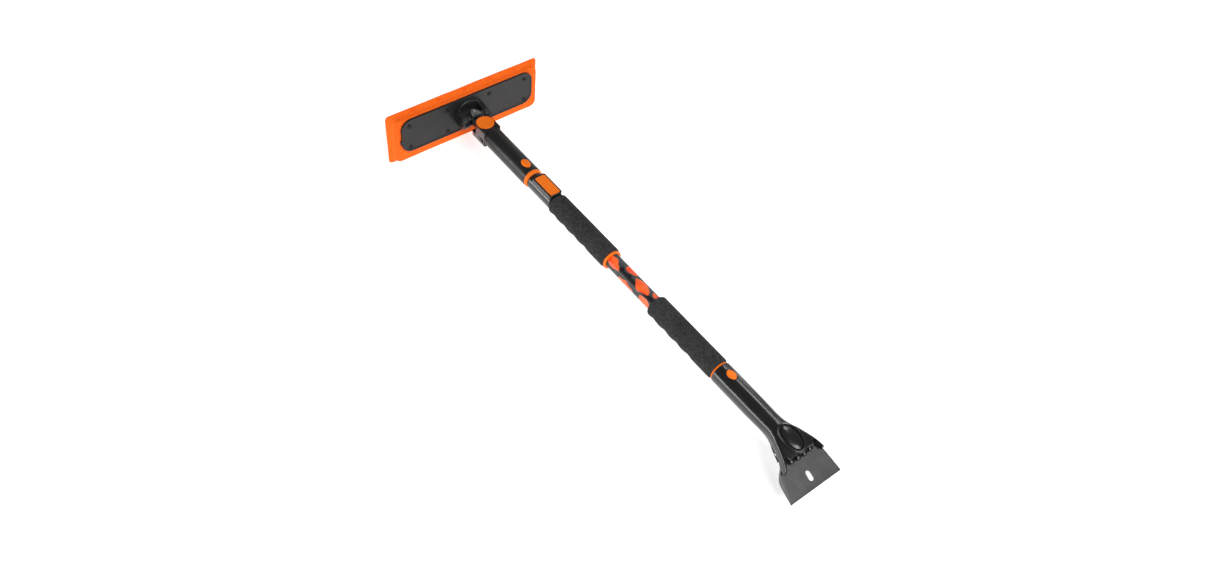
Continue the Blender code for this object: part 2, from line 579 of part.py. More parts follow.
# wings: hollow from below, open at the front, each with a slit in its skirt
HOLLOW = [(752.0, 17.0), (770.0, 22.6), (800.0, 24.4), (800.0, 38.0), (785.0, 32.8),
          (765.0, 25.2), (756.0, 21.6)]
SLIT = [(757.0, -4.2), (779.0, -4.2), (781.0, -2.6), (779.0, -1.0), (757.0, -1.0)]
for side, name in ((-1, "left"), (1, "right")):
    cut(body, prism("wing_hollow_" + name, [(x, side * y) for x, y in HOLLOW], -20, 3.4))
    cut(body, prism("wing_slit_" + name, SLIT, *sorted((side * 20.5, side * 45.0)), axis="Y"))
NOTCH = [(810.0, 37.2), (795.0, 36.6), (780.0, 29.5), (787.0, 24.5), (786.0, 12.0)]
FRONT = [(x, -y) for x, y in NOTCH] + [(786.5, 0.0)] + NOTCH[::-1]
cut(body, prism("front_edge", FRONT, -40, 40))

# ---------------------------------------------------------------- blade
SEAT_Z = TIP_Z + (TIP_X - SEAT_X) * math.tan(BLADE_ANGLE)
SEAT = Matrix.Translation((SEAT_X, 0, SEAT_Z)) @ Matrix.Rotation(BLADE_ANGLE, 4, "Y")
# x, half width, thickness, depth of the side skirts
BLADE = [
    (763.0, 21.6, 4.0, 0.3),
    (775.0, 26.6, 4.0, 0.4),
    (783.0, 33.0, 4.0, 4.0),
    (790.0, 39.4, 4.0, 8.6),
    (796.0, 41.8, 3.8, 9.8),
    (803.0, 43.4, 3.6, 8.2),
    (815.0, 46.0, 3.2, 4.0),
    (824.0, 48.0, 2.2, 1.0),
    (TIP_X, 48.8, 1.0, 0.3),
]


def blade_z(x):
    return TIP_Z + (TIP_X - x) * math.tan(BLADE_ANGLE)


def blade_ring(x, half_w, thick, skirt):
    """Channel section: a flat top with a skirt under each side edge."""
    half = thick / 2 / math.cos(BLADE_ANGLE)
    top = blade_z(x) + half
    low = blade_z(x) - half
    right = [(half_w - 0.8, top), (half_w, top - 0.5), (half_w, low - skirt),
             (half_w - 2.4, low - skirt), (half_w - 2.8, low)]
    return right + [(-y, z) for y, z in right[::-1]]


def seat_ring(x, half_w):
    top = blade_z(x) + 2.3 / math.cos(BLADE_ANGLE)
    side = half_w + 0.6
    return [(-side, top), (side, top), (side, -60), (-side, -60)]


cut(body, loft("blade_seat", [(762.4, seat_ring(762.4, BLADE[0][1]))]
               + [(row[0], seat_ring(row[0], row[1])) for row in BLADE[1:6]]))
for i in range(TEETH):
    off = i - (TEETH - 1) / 2
    along = (787.4 - abs(off) - SEAT_X) * math.cos(BLADE_ANGLE)
    join(body, rod("ice_tooth_%d" % (i + 1), 2.4, 13.0 - 0.5 * abs(off), 4.2,
                   centre=(along, off * TOOTH_PITCH), sides=16, move=SEAT))

blade = loft("scraper_blade", [(row[0], blade_ring(*row)) for row in BLADE], BLADE_GREY)
HANG = arc(814, 0, 4.4, -90, 90, 8) + arc(808, 0, 4.4, 90, 270, 8)
cut(blade, prism("hang_slot", HANG, -50, 0))
for number, y in enumerate((-BLADE_SCREW_Y, BLADE_SCREW_Y), 1):
    cut(blade, rod("blade_hole_%d" % number, -10, 10, 1.9, centre=(2, y), move=SEAT))
    cut(body, rod("blade_boss_hole_%d" % number, 0, 8.5, 1.9, centre=(2, y), move=SEAT))
    turned("blade_screw_%d" % number, [
        (-4.4, 0), (-4.4, 2.2), (-3.8, 3.3), (-2.35, 3.3), (-2.35, 1.6), (7.2, 1.6), (8.0, 0.9),
        (8.0, 0)], STEEL, "Z", (2, y), SIDES_SMALL, move=SEAT)

# ---------------------------------------------------------------- joints
# Each empty stands on the axis of one joint and carries what moves with it:
# name, the joint that carries it in turn, its place, and its pieces.
PUSH_HEAD = ["foam_pad", "pad_insert", "backing_plate", "hub_bracket", "tilt_pin", "tilt_pin_cap"]
PUSH_HEAD += ["plate_screw_%d" % (i + 1) for i in range(len(SCREW_Y) * len(SCREW_Z))]
JOINTS = [
    ("pole_extension", None, (INNER_X[0], 0, 0), [
        "inner_tube", "head_connector", "connector_rivet", "glide_bush", "head_snap_spring"]),
    ("extension_button_rock", None, (ROCK_X, 0, ROCK_Z), ["extension_button", "lock_shoe"]),
    ("head_pull_off", "pole_extension", (SNAP_HEAD_X, 0, 0), [
        "head_socket", "swivel_housing", "swivel_axle", "socket_screw", "swivel_button_spring"]),
    ("head_release_press", "head_pull_off", (SNAP_HEAD_X, 0, 12.0), ["head_release_button"]),
    ("swivel_button_press", "head_pull_off", (0, 0, 11.5), ["swivel_button"]),
    ("head_swivel", "head_pull_off", (0, 0, 0), ["tilt_knuckle", "catch_screw"]),
    ("tilt_catch_slide", "head_swivel", (CATCH_SCREW_X, 0, CATCH_Z[0]), ["tilt_catch"]),
    ("head_tilt", "head_swivel", (TILT_X, 0, 0), PUSH_HEAD),
    ("scraper_pull_off", None, (SNAP_SCR_X, 0, 0), [
        "scraper_body", "thumb_rest", "scraper_blade", "blade_screw_1", "blade_screw_2"]),
    ("scraper_release_press", "scraper_pull_off", (SNAP_SCR_X, 0, 12.0),
     ["scraper_release_button"]),
]


def carry(obj, carrier):
    """Parent an object and leave it where it stands."""
    obj.parent = bpy.data.objects[carrier]
    obj.matrix_parent_inverse = PLACED[carrier].inverted()


for name, carrier, at, pieces in JOINTS:
    axis = bpy.data.objects.new(name, None)
    PLACED[name] = BASE @ metres(Matrix.Translation(at))
    axis.matrix_world = PLACED[name]
    axis.empty_display_size = 15 * MM
    PARTS.objects.link(axis)
    if carrier:
        carry(axis, carrier)
    for piece in pieces:
        carry(bpy.data.objects[piece], name)
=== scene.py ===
"""Looks of the two-in-one snow tool: foam push head, telescopic pole and ice scraper.

Shapes are laid out in millimetres in the tool's own coordinates: X = 0 on the swivel axis,
Z = 0 on the pole's axis, X towards the scraper, Z towards the buttons. TOOL takes them to
the frame, and span() gives a CAD node's box in them.
"""
import bpy
import bmesh
import json
import math
from mathutils import Matrix, Vector, noise

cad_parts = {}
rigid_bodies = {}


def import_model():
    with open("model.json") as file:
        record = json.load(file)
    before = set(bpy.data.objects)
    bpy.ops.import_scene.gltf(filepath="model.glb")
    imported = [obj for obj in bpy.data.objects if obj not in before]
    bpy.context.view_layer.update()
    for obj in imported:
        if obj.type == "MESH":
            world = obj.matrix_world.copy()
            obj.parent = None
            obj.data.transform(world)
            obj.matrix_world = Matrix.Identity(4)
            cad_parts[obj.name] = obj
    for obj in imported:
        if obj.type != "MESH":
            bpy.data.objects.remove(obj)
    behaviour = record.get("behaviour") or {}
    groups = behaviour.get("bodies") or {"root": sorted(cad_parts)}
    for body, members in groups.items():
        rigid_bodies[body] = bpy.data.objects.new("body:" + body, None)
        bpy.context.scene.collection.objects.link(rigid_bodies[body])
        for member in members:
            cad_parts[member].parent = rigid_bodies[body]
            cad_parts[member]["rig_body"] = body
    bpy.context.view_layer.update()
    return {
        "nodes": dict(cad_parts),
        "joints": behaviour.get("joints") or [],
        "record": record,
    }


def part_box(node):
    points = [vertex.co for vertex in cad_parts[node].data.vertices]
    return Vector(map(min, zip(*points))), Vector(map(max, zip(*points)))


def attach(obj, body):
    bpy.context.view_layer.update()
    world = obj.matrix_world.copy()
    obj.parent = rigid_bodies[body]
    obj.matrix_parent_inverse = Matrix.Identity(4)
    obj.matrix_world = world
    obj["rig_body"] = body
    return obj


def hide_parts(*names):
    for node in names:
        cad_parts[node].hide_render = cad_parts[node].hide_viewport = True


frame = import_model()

MM = 0.001
SIDES = 96                    # sides of a large round piece
SIDES_SMALL = 40              # sides of a screw or a pin
SHARP = math.radians(38)      # edges sharper than this stay crisp in the shading
TUBE_R = 12.7                 # outside of the camouflaged tube
PIN_BORE = 3.3                # bore for the tilt pin
AXLE_BORE = 6.6               # bore for the swivel axle
SOCKET_BORE = 16.1            # inside of the head socket and of the scraper's neck
SCREWS = 8                    # on the backing plate

JOINT = {row["name"]: row for row in frame["joints"]}
SLOT_OF = {row["node"]: row["material_slot"] for row in frame["record"]["subparts"]}
TUBE_LO, TUBE_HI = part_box("outer_tube")
TOOL = Matrix.Translation((JOINT["head_swivel"]["pos_m"][0], 0, (TUBE_LO.z + TUBE_HI.z) / 2))
TURN = {                      # takes local Z to the named axis
    "X": Matrix.Rotation(math.radians(90), 4, "Y"),
    "Y": Matrix.Rotation(math.radians(-90), 4, "X"),
    "Z": Matrix.Identity(4),
}


def span(node):
    """Lowest and highest corner of a CAD node, in the tool's millimetres."""
    lo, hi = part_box(node)
    return (TOOL.inverted() @ lo) / MM, (TOOL.inverted() @ hi) / MM


# ---------------------------------------------------------------- materials
class Look:
    """A procedural material, built from small steps. Sizes are in millimetres."""

    def __init__(self, name, rough=0.5, metal=0.0, **sockets):
        self.mat = bpy.data.materials.new(name)
        self.mat.use_nodes = True
        self.tree = self.mat.node_tree
        self.bsdf = self.tree.nodes["Principled BSDF"]
        self.bsdf.inputs["Roughness"].default_value = rough
        self.bsdf.inputs["Metallic"].default_value = metal
        for socket, value in sockets.items():
            title = socket.replace("_", " ").title().replace("Ior", "IOR")
            self.bsdf.inputs[title].default_value = value
        self.where = self.node("ShaderNodeTexCoord").outputs["Object"]

    def node(self, kind, inputs=(), **settings):
        made = self.tree.nodes.new(kind)
        for key, value in settings.items():
            setattr(made, key, value)
        for key, value in dict(inputs).items():
            if isinstance(value, bpy.types.NodeSocket):
                self.tree.links.new(value, made.inputs[key])
            else:
                made.inputs[key].default_value = value
        return made

    def math(self, operation, a, b=0.0, c=0.0, clamp=False):
        return self.node("ShaderNodeMath", {0: a, 1: b, 2: c}, operation=operation,
                         use_clamp=clamp).outputs[0]

    def place(self, stretch):
        """Object coordinates, stretched along each axis."""
        scale = [1 / s for s in stretch]
        return self.node("ShaderNodeMapping", {"Vector": self.where, "Scale": scale}).outputs[0]

    def noise(self, size, detail=3.0, stretch=(1, 1, 1), roughness=0.55):
        return self.node("ShaderNodeTexNoise", {
            "Vector": self.place(stretch), "Scale": 1 / (size * MM), "Detail": detail,
            "Roughness": roughness}).outputs["Fac"]

    def cells(self, size, feature="F1"):
        return self.node("ShaderNodeTexVoronoi", {
            "Vector": self.where, "Scale": 1 / (size * MM)}, feature=feature).outputs["Distance"]

    def fade(self, value, low, high, to_low=0.0, to_high=1.0):
        """Map low..high to to_low..to_high, clamped."""
        return self.node("ShaderNodeMapRange", {
            "Value": value, "From Min": low, "From Max": high, "To Min": to_low,
            "To Max": to_high}).outputs["Result"]

    def blend(self, factor, a, b):
        mixed = self.node("ShaderNodeMix", data_type="RGBA")
        for socket, value in ((0, factor), (6, a), (7, b)):
            if isinstance(value, bpy.types.NodeSocket):
                self.tree.links.new(value, mixed.inputs[socket])
            elif socket == 0:
                mixed.inputs[0].default_value = value
            else:
                mixed.inputs[socket].default_value = (*value, 1)
        return mixed.outputs[2]

    def edges(self, radius):
        """About 1 on edges sharper than the given radius, and 0 on flat faces."""
        soft = self.node("ShaderNodeBevel", {"Radius": radius * MM}, samples=4).outputs[0]
        hard = self.node("ShaderNodeNewGeometry").outputs["Normal"]
        dot = self.node("ShaderNodeVectorMath", {0: soft, 1: hard}, operation="DOT_PRODUCT")
        return self.fade(dot.outputs["Value"], 0.995, 0.90)

    def colour(self, value):
        socket = self.bsdf.inputs["Base Color"]
        if isinstance(value, bpy.types.NodeSocket):
            self.tree.links.new(value, socket)
        else:
            socket.default_value = (*value, 1)

    def rough(self, value):
        self.tree.links.new(value, self.bsdf.inputs["Roughness"])

    def bump(self, *layers):
        """Stack (height, depth in millimetres) layers into the normal."""
        normal = None
        for height, depth in layers:
            made = self.node("ShaderNodeBump", {"Height": height, "Distance": depth * MM})
            if normal is not None:
                self.tree.links.new(normal, made.inputs["Normal"])
            normal = made.outputs["Normal"]
        self.tree.links.new(normal, self.bsdf.inputs["Normal"])


def foam(name, light, dark, pore, sheen):
    """Closed-cell EVA foam: a matte skin with fine pores and a cloudy tone."""
    look = Look(name, rough=0.85, specular_ior_level=0.25, sheen_weight=sheen,
                sheen_roughness=0.6)
    cloud = look.noise(38, 4)
    pores = look.cells(pore)
    fleck = look.fade(look.noise(3.2, 1), 0.38, 0.64)
    mottled = look.math("MULTIPLY_ADD", fleck, 0.7, look.fade(cloud, 0.35, 0.7, 0.0, 0.3))
    tone = look.blend(mottled, dark, light)
    pit = tuple(0.62 * c for c in dark)
    look.colour(look.blend(look.fade(pores, 0.62, 0.95, 0.0, 0.55), tone, pit))
    look.rough(look.fade(look.noise(3, 3), 0.3, 0.7, 0.78, 0.95))
    look.bump((pores, 0.16), (look.noise(0.5, 4), 0.10), (look.noise(9, 2), 0.30))
    return look.mat


def plastic(name, base, worn, rough, grain, depth, coat=0.0, shine=0.5):
    """Moulded plastic: fine mould grain, faint smears, edges a little polished."""
    look = Look(name, coat_weight=coat, coat_roughness=0.12, specular_ior_level=shine)
    tint = look.fade(look.noise(24, 4), 0.3, 0.75, 0.0, 0.35)
    body = look.blend(tint, base, tuple(0.78 * c for c in base))
    rub = look.math("MULTIPLY", look.edges(0.8), look.fade(look.noise(5, 4), 0.38, 0.68))
    look.colour(look.blend(look.math("MULTIPLY", rub, 0.6), body, worn))
    smear = look.fade(look.noise(12, 5, (3, 1, 1)), 0.35, 0.7, -0.04, 0.10)
    look.rough(look.math("ADD", smear, rough, clamp=True))
    look.bump((look.noise(grain, 3), depth), (look.noise(30, 2), 0.10))
    return look.mat


def metal(name, base, rough, grain, stretch=(1, 1, 1), depth=0.02):
    """Bare or plated metal with drawn or tumbled grain and dull spots."""
    look = Look(name, metal=1.0)
    lines = look.noise(grain, 4, stretch)
    spots = look.fade(look.noise(6, 5), 0.5, 0.75, 0.0, 0.4)
    dull = tuple(0.72 * c for c in base)
    look.colour(look.blend(spots, base, dull))
    look.rough(look.fade(lines, 0.2, 0.8, rough - 0.07, rough + 0.12))
    look.bump((lines, depth))
    return look.mat


# Leaves of the camouflage film: x, angle from the top towards -Y, half length along the
# pole, half width, and lean, in millimetres and degrees
LEAVES = [
    (370, 33, 18, 8.0, 16), (402, -25, 13, 7.7, 0), (436, 10, 18, 8.5, 9),
    (410, 97, 19, 6.0, 4), (456, 85, 15, 7.3, 4), (463, -22, 9, 5.0, 0),
    (380, -95, 13, 6.5, -8), (420, -85, 14, 6.0, 8), (452, -110, 12, 6.5, -6),
    (372, 155, 13, 6.5, 10), (405, -150, 14, 6.0, -10), (438, 150, 14, 6.5, 8),
]


def camouflage():
    """Printed film: orange leaves on black and slate, with a thin pale outline."""
    look = Look("camouflage_film", coat_weight=0.10, coat_roughness=0.3)
    local = look.node("ShaderNodeSeparateXYZ", {0: look.where})
    turn = look.math("ARCTAN2", look.math("MULTIPLY", local.outputs["Y"], -1.0),
                     look.math("MULTIPLY", local.outputs["X"], -1.0))
    wobble = look.node("ShaderNodeVectorMath", {0: look.node("ShaderNodeTexNoise", {
        "Vector": look.where, "Scale": 1 / (12 * MM), "Detail": 1.0}).outputs["Color"],
        1: (7, 7, 0)}, operation="MULTIPLY")
    flat = look.node("ShaderNodeCombineXYZ", {
        "X": look.math("MULTIPLY", local.outputs["Z"], 1 / MM),
        "Y": look.math("MULTIPLY", turn, TUBE_R)})
    flat = look.node("ShaderNodeVectorMath", {0: flat.outputs[0], 1: wobble.outputs[0]},
                     operation="ADD").outputs[0]
    nearest = 9.0
    for x, angle, length, width, lean in LEAVES:
        leaf = look.node("ShaderNodeMapping", {
            "Vector": flat, "Location": (x + 3.5, TUBE_R * math.radians(angle) + 3.5, 0),
            "Rotation": (0, 0, math.radians(lean)), "Scale": (length, width, 1)},
            vector_type="TEXTURE").outputs[0]
        side = look.node("ShaderNodeVectorMath", {0: leaf}, operation="ABSOLUTE").outputs[0]
        corner = look.node("ShaderNodeVectorMath", {0: side, 1: (0.55, 0.45, 0)},
                           operation="DOT_PRODUCT").outputs["Value"]
        round_ = look.node("ShaderNodeVectorMath", {0: leaf}, operation="LENGTH")
        away = look.math("MULTIPLY_ADD", round_.outputs["Value"], 0.5, corner)
        nearest = look.math("MINIMUM", away, nearest)
    vein = look.fade(look.noise(9, 2, (1, 1, 3.0)), 0.40, 0.62)
    orange = look.blend(vein, (1.0, 0.15, 0.022), (0.92, 0.045, 0.0))
    around = look.node("ShaderNodeSeparateXYZ", {0: flat}).outputs["Y"]
    trunk = look.math("ABSOLUTE", look.math("SUBTRACT", around, TUBE_R * math.radians(56) + 3.5))
    patches = look.math("MULTIPLY", look.noise(13, 2, (1, 1, 1.6)), 26)
    slate = look.fade(look.math("ADD", trunk, patches), 20.5, 21.5)
    ground = look.blend(slate, (0.003, 0.004, 0.004), (0.036, 0.043, 0.046))
    rimmed = look.blend(look.fade(nearest, 1.13, 1.06, 0.0, 0.5), ground, (0.70, 0.16, 0.07))
    look.colour(look.blend(look.fade(nearest, 1.05, 0.99), rimmed, orange))
    look.rough(look.fade(look.noise(8, 5), 0.3, 0.75, 0.36, 0.50))
    look.bump((look.fade(nearest, 1.05, 0.99), 0.02), (look.noise(5, 3), 0.03))
    return look.mat


def blade_plastic():
    """Textured polycarbonate with fine speckle, and scuffs along the direction of use."""
    look = Look("blade_polycarbonate", specular_ior_level=0.5)
    speckle = look.noise(0.9, 2)
    tone = look.blend(look.fade(look.noise(16, 4), 0.3, 0.7), (0.030, 0.030, 0.032),
                      (0.050, 0.050, 0.052))
    dots = look.fade(speckle, 0.55, 0.72, 0.0, 0.55)
    scuff = look.fade(look.noise(1.6, 5, (14, 1, 14)), 0.60, 0.72, 0.0, 0.35)
    light = look.math("MAXIMUM", dots, scuff)
    rub = look.math("MAXIMUM", light, look.math("MULTIPLY", look.edges(0.9), 0.55))
    look.colour(look.blend(rub, tone, (0.135, 0.135, 0.14)))
    look.rough(look.fade(look.noise(7, 5), 0.3, 0.75, 0.34, 0.52))
    look.bump((speckle, 0.06), (look.noise(0.35, 2), 0.04), (look.noise(25, 2), 0.10))
    return look.mat


ORANGE = (1.0, 0.195, 0.006)
LOOK = {
    "eva_orange": foam("orange_foam", (1.0, 0.165, 0.008), (0.96, 0.120, 0.004), 0.9, 0.0),
    "eva_grey": foam("grey_foam", (0.046, 0.046, 0.047), (0.017, 0.017, 0.018), 0.8, 0.0),
    "abs_black_satin": plastic("satin_black", (0.010, 0.010, 0.0105), (0.07, 0.07, 0.072), 0.36,
                               0.45, 0.035, shine=0.4),
    "abs_black_gloss": plastic("gloss_black", (0.006, 0.006, 0.0063), (0.06, 0.06, 0.062), 0.22,
                               0.9, 0.012, coat=0.3),
    "abs_orange": plastic("orange_plastic", ORANGE, (1.0, 0.26, 0.03), 0.42, 0.5, 0.025,
                          shine=0.25),
    "camo_tube": camouflage(),
    "steel": metal("zinc_plate", (0.58, 0.58, 0.57), 0.32, 0.6),
    "steel_black": metal("black_oxide", (0.045, 0.045, 0.048), 0.38, 0.6),
    "zinc": metal("cast_zinc", (0.40, 0.41, 0.41), 0.46, 0.8, depth=0.05),
    "aluminium": metal("drawn_aluminium", (0.74, 0.75, 0.76), 0.30, 0.5, (1, 1, 60), 0.012),
    "blade": blade_plastic(),
    "nylon": plastic("natural_nylon", (0.72, 0.69, 0.60), (0.8, 0.78, 0.72), 0.45, 0.6, 0.02),
    "rubber": plastic("black_rubber", (0.02, 0.02, 0.02), (0.05, 0.05, 0.05), 0.75, 0.4, 0.06),
}

# ---------------------------------------------------------------- builders
def metres(matrix):
    """The same placement with its shift turned from millimetres into metres."""
    out = matrix.copy()
    out.translation = matrix.translation * MM
    return out


def place(name, mesh, matrix=Matrix.Identity(4)):
    """Put a mesh in the scene, with the matrix given in the tool's coordinates."""
    obj = bpy.data.objects.new(name, mesh)
    bpy.context.scene.collection.objects.link(obj)
    obj.matrix_world = TOOL @ metres(matrix)
    return obj


def to_object(name, bm, matrix=Matrix.Identity(4)):
    """Turn a bmesh in millimetres into a placed object."""
    bmesh.ops.recalc_face_normals(bm, faces=bm.faces)
    bmesh.ops.scale(bm, vec=(MM, MM, MM), verts=bm.verts)
    mesh = bpy.data.meshes.new(name)
    bm.to_mesh(mesh)
    bm.free()
    return place(name, mesh, matrix)


def across(axis, centre):
    """A shift across the axis, given as the two coordinates that the axis leaves."""
    u, v = centre
    return Matrix.Translation({"X": (0, u, v), "Y": (u, 0, v), "Z": (u, v, 0)}[axis])


def eased(profile, radius, steps=3):
    """Round the inner corners of a profile."""
    out = [profile[0]]
    for a, b, c in zip(profile, profile[1:], profile[2:]):
        a, b, c = Vector(a), Vector(b), Vector(c)
        reach = min(radius, (a - b).length / 2.1, (c - b).length / 2.1)
        start = b + (a - b).normalized() * reach
        end = b + (c - b).normalized() * reach
        for i in range(steps + 1):
            t = i / steps
            point = start * (1 - t) ** 2 + b * 2 * t * (1 - t) + end * t ** 2
            out.append((point.x, point.y))
    out.append(profile[-1])
    return out


def turned(name, profile, axis="Z", centre=(0, 0), sides=SIDES, squash=1.0, ease=0.0,
           move=Matrix.Identity(4)):
    """A profile of (along, radius) swept round the axis. It starts and ends on the axis, or
    it is a closed loop round a bore."""
    line = eased(profile, ease) if ease else list(profile)
    bm = bmesh.new()
    solid = profile[0][1] == 0
    rings = []
    for along, radius in line:
        if radius == 0:
            rings.append([bm.verts.new((0, 0, along))])
            continue
        turn = [2 * math.pi * i / sides for i in range(sides)]
        rings.append([bm.verts.new((radius * math.cos(t), radius * squash * math.sin(t), along))
                      for t in turn])
    pairs = list(zip(rings, rings[1:]))
    if not solid:
        pairs.append((rings[-1], rings[0]))
    for a, b in pairs:
        for i in range(sides):
            j = (i + 1) % sides
            corners = [a[i % len(a)], a[j % len(a)], b[j % len(b)], b[i % len(b)]]
            face = list(dict.fromkeys(corners))
            if len(face) > 2:
                bm.faces.new(face)
    return to_object(name, bm, move @ across(axis, centre) @ TURN[axis])


def rod(name, lo, hi, radius, axis="Z", centre=(0, 0), sides=SIDES_SMALL, squash=1.0,
        move=Matrix.Identity(4)):
    """A plain cylinder; squash flattens it to an oval."""
    bm = bmesh.new()
    bmesh.ops.create_cone(bm, cap_ends=True, segments=sides, radius1=radius, radius2=radius,
                          depth=hi - lo)
    bmesh.ops.scale(bm, vec=(1, squash, 1), verts=bm.verts)
    bmesh.ops.translate(bm, vec=(0, 0, (lo + hi) / 2), verts=bm.verts)
    return to_object(name, bm, move @ across(axis, centre) @ TURN[axis])


def block(name, lo, hi, corner=0.0, axis="Z", rim=0.0, steps=8, move=Matrix.Identity(4)):
    """A box between two corners, with a radius on its edges along the axis and on its rims."""
    bm = bmesh.new()
    bmesh.ops.create_cube(bm, size=1.0)
    size = Vector(hi) - Vector(lo)
    bmesh.ops.scale(bm, vec=size, verts=bm.verts)
    bmesh.ops.translate(bm, vec=(Vector(hi) + Vector(lo)) / 2, verts=bm.verts)
    k = "XYZ".index(axis)
    if corner:
        along = [e for e in bm.edges if abs(e.verts[0].co[k] - e.verts[1].co[k]) > size[k] / 2]
        bmesh.ops.bevel(bm, geom=along, offset=corner, segments=steps, profile=0.5,
                        affect="EDGES")
    if rim:
        ends = [e for e in bm.edges if abs(e.verts[0].co[k] - e.verts[1].co[k]) < 0.001]
        bmesh.ops.bevel(bm, geom=ends, offset=rim, segments=3, profile=0.5, affect="EDGES")
    return to_object(name, bm, move)


def prism(name, outline, lo, hi, axis="Z", move=Matrix.Identity(4)):
    """A flat outline in the two coordinates that the axis leaves, drawn out from lo to hi."""
    bm = bmesh.new()
    point = {"X": lambda u, v: (lo, u, v), "Y": lambda u, v: (u, lo, v),
             "Z": lambda u, v: (u, v, lo)}[axis]
    face = bm.faces.new([bm.verts.new(point(u, v)) for u, v in outline])
    drawn = bmesh.ops.extrude_face_region(bm, geom=[face])
    top = [g for g in drawn["geom"] if isinstance(g, bmesh.types.BMVert)]
    shift = Vector((0, 0, 0))
    shift["XYZ".index(axis)] = hi - lo
    bmesh.ops.translate(bm, vec=shift, verts=top)
    return to_object(name, bm, move)


def loft(name, stations):
    """A skin through sections along X, closed at both ends."""
    bm = bmesh.new()
    rings = [[bm.verts.new((x, y, z)) for y, z in ring] for x, ring in stations]
    for a, b in zip(rings, rings[1:]):
        for i in range(len(a)):
            j = (i + 1) % len(a)
            bm.faces.new((a[i], a[j], b[j], b[i]))
    bm.faces.new(rings[0])
    bm.faces.new(rings[-1])
    return to_object(name, bm)


def arc(cx, cy, radius, start, end, steps):
    """Points on an arc, in degrees, both ends included."""
    return [(cx + radius * math.cos(math.radians(start + (end - start) * i / steps)),
             cy + radius * math.sin(math.radians(start + (end - start) * i / steps)))
            for i in range(steps + 1)]


def combine(obj, tool, operation):
    """Cut or join at once; the tool is used up."""
    bpy.context.view_layer.update()
    mod = obj.modifiers.new(tool.name, "BOOLEAN")
    mod.operation = operation
    mod.solver = "EXACT"
    mod.object = tool
    bake(obj)
    bpy.data.objects.remove(tool, do_unlink=True)
    return obj


def cut(obj, *tools):
    for tool in tools:
        combine(obj, tool, "DIFFERENCE")
    return obj


def join(obj, *tools):
    for tool in tools:
        combine(obj, tool, "UNION")
    return obj


def bake(obj):
    """Apply an object's modifiers."""
    bpy.context.view_layer.update()
    graph = bpy.context.evaluated_depsgraph_get()
    mesh = bpy.data.meshes.new_from_object(obj.evaluated_get(graph))
    obj.modifiers.clear()
    obj.data = mesh
    mesh.name = obj.name


def soften(obj, width, angle=40, steps=2):
    """Round the hard edges that the cuts and joins have left."""
    bm = bmesh.new()
    bm.from_mesh(obj.data)
    bmesh.ops.remove_doubles(bm, verts=bm.verts, dist=0.02 * MM)
    bmesh.ops.dissolve_degenerate(bm, edges=bm.edges, dist=0.02 * MM)
    flat = math.radians(0.6)
    bmesh.ops.dissolve_limit(bm, angle_limit=flat, verts=bm.verts, edges=bm.edges)
    hard = [e for e in bm.edges if len(e.link_faces) == 2
            and e.calc_face_angle(0) > math.radians(angle)]
    bmesh.ops.bevel(bm, geom=hard, offset=width * MM, segments=steps, profile=0.5,
                    affect="EDGES", clamp_overlap=False, miter_outer="ARC")
    bm.to_mesh(obj.data)
    bm.free()


def dress(piece, *nodes, slot=None):
    """Give a piece its material, and let it stand for CAD nodes and ride on their body."""
    slot = slot or SLOT_OF[nodes[0]]
    piece.data.materials.clear()
    piece.data.materials.append(LOOK[slot])
    piece.data.shade_smooth()
    piece.data.set_sharp_from_angle(angle=SHARP)
    flat = piece.modifiers.new("flat_faces", "WEIGHTED_NORMAL")
    flat.keep_sharp = True
    bake(piece)
    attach(piece, frame["nodes"][nodes[0]]["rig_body"])
    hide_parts(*nodes)
    return piece


# ---------------------------------------------------------------- foam push head
def pad_ring(half_w, half_h, radius, middle, corner_steps=10, pitch=7.0):
    """A rounded rectangle in (y, z), with its straight sides divided for the foam's ripple."""
    pad_lo, pad_hi = span("foam_pad")
    pts = []
    long_steps = round((pad_hi.y - pad_lo.y) / pitch)
    short_steps = round((pad_hi.z - pad_lo.z) / pitch)
    for k, (sy, sz) in enumerate(((1, 1), (-1, 1), (-1, -1), (1, -1))):
        turn = arc(sy * (half_w - radius), middle + sz * (half_h - radius), radius,
                   90 * k, 90 * k + 90, corner_steps)
        pts += turn
        steps = long_steps if k % 2 == 0 else short_steps
        end = Vector(turn[-1])
        reach = {0: (-2 * (half_w - radius), 0), 1: (0, -2 * (half_h - radius)),
                 2: (2 * (half_w - radius), 0), 3: (0, 2 * (half_h - radius))}[k]
        pts += [tuple(end + Vector(reach) * i / steps) for i in range(1, steps)]
    return pts


def ripple(obj, size, depth):
    """Push a mesh in and out along its normals by smooth noise, as soft foam is."""
    mesh = obj.data
    normals = [v.normal.copy() for v in mesh.vertices]
    for vert, normal in zip(mesh.vertices, normals):
        vert.co += normal * depth * MM * noise.noise(vert.co / (size * MM))


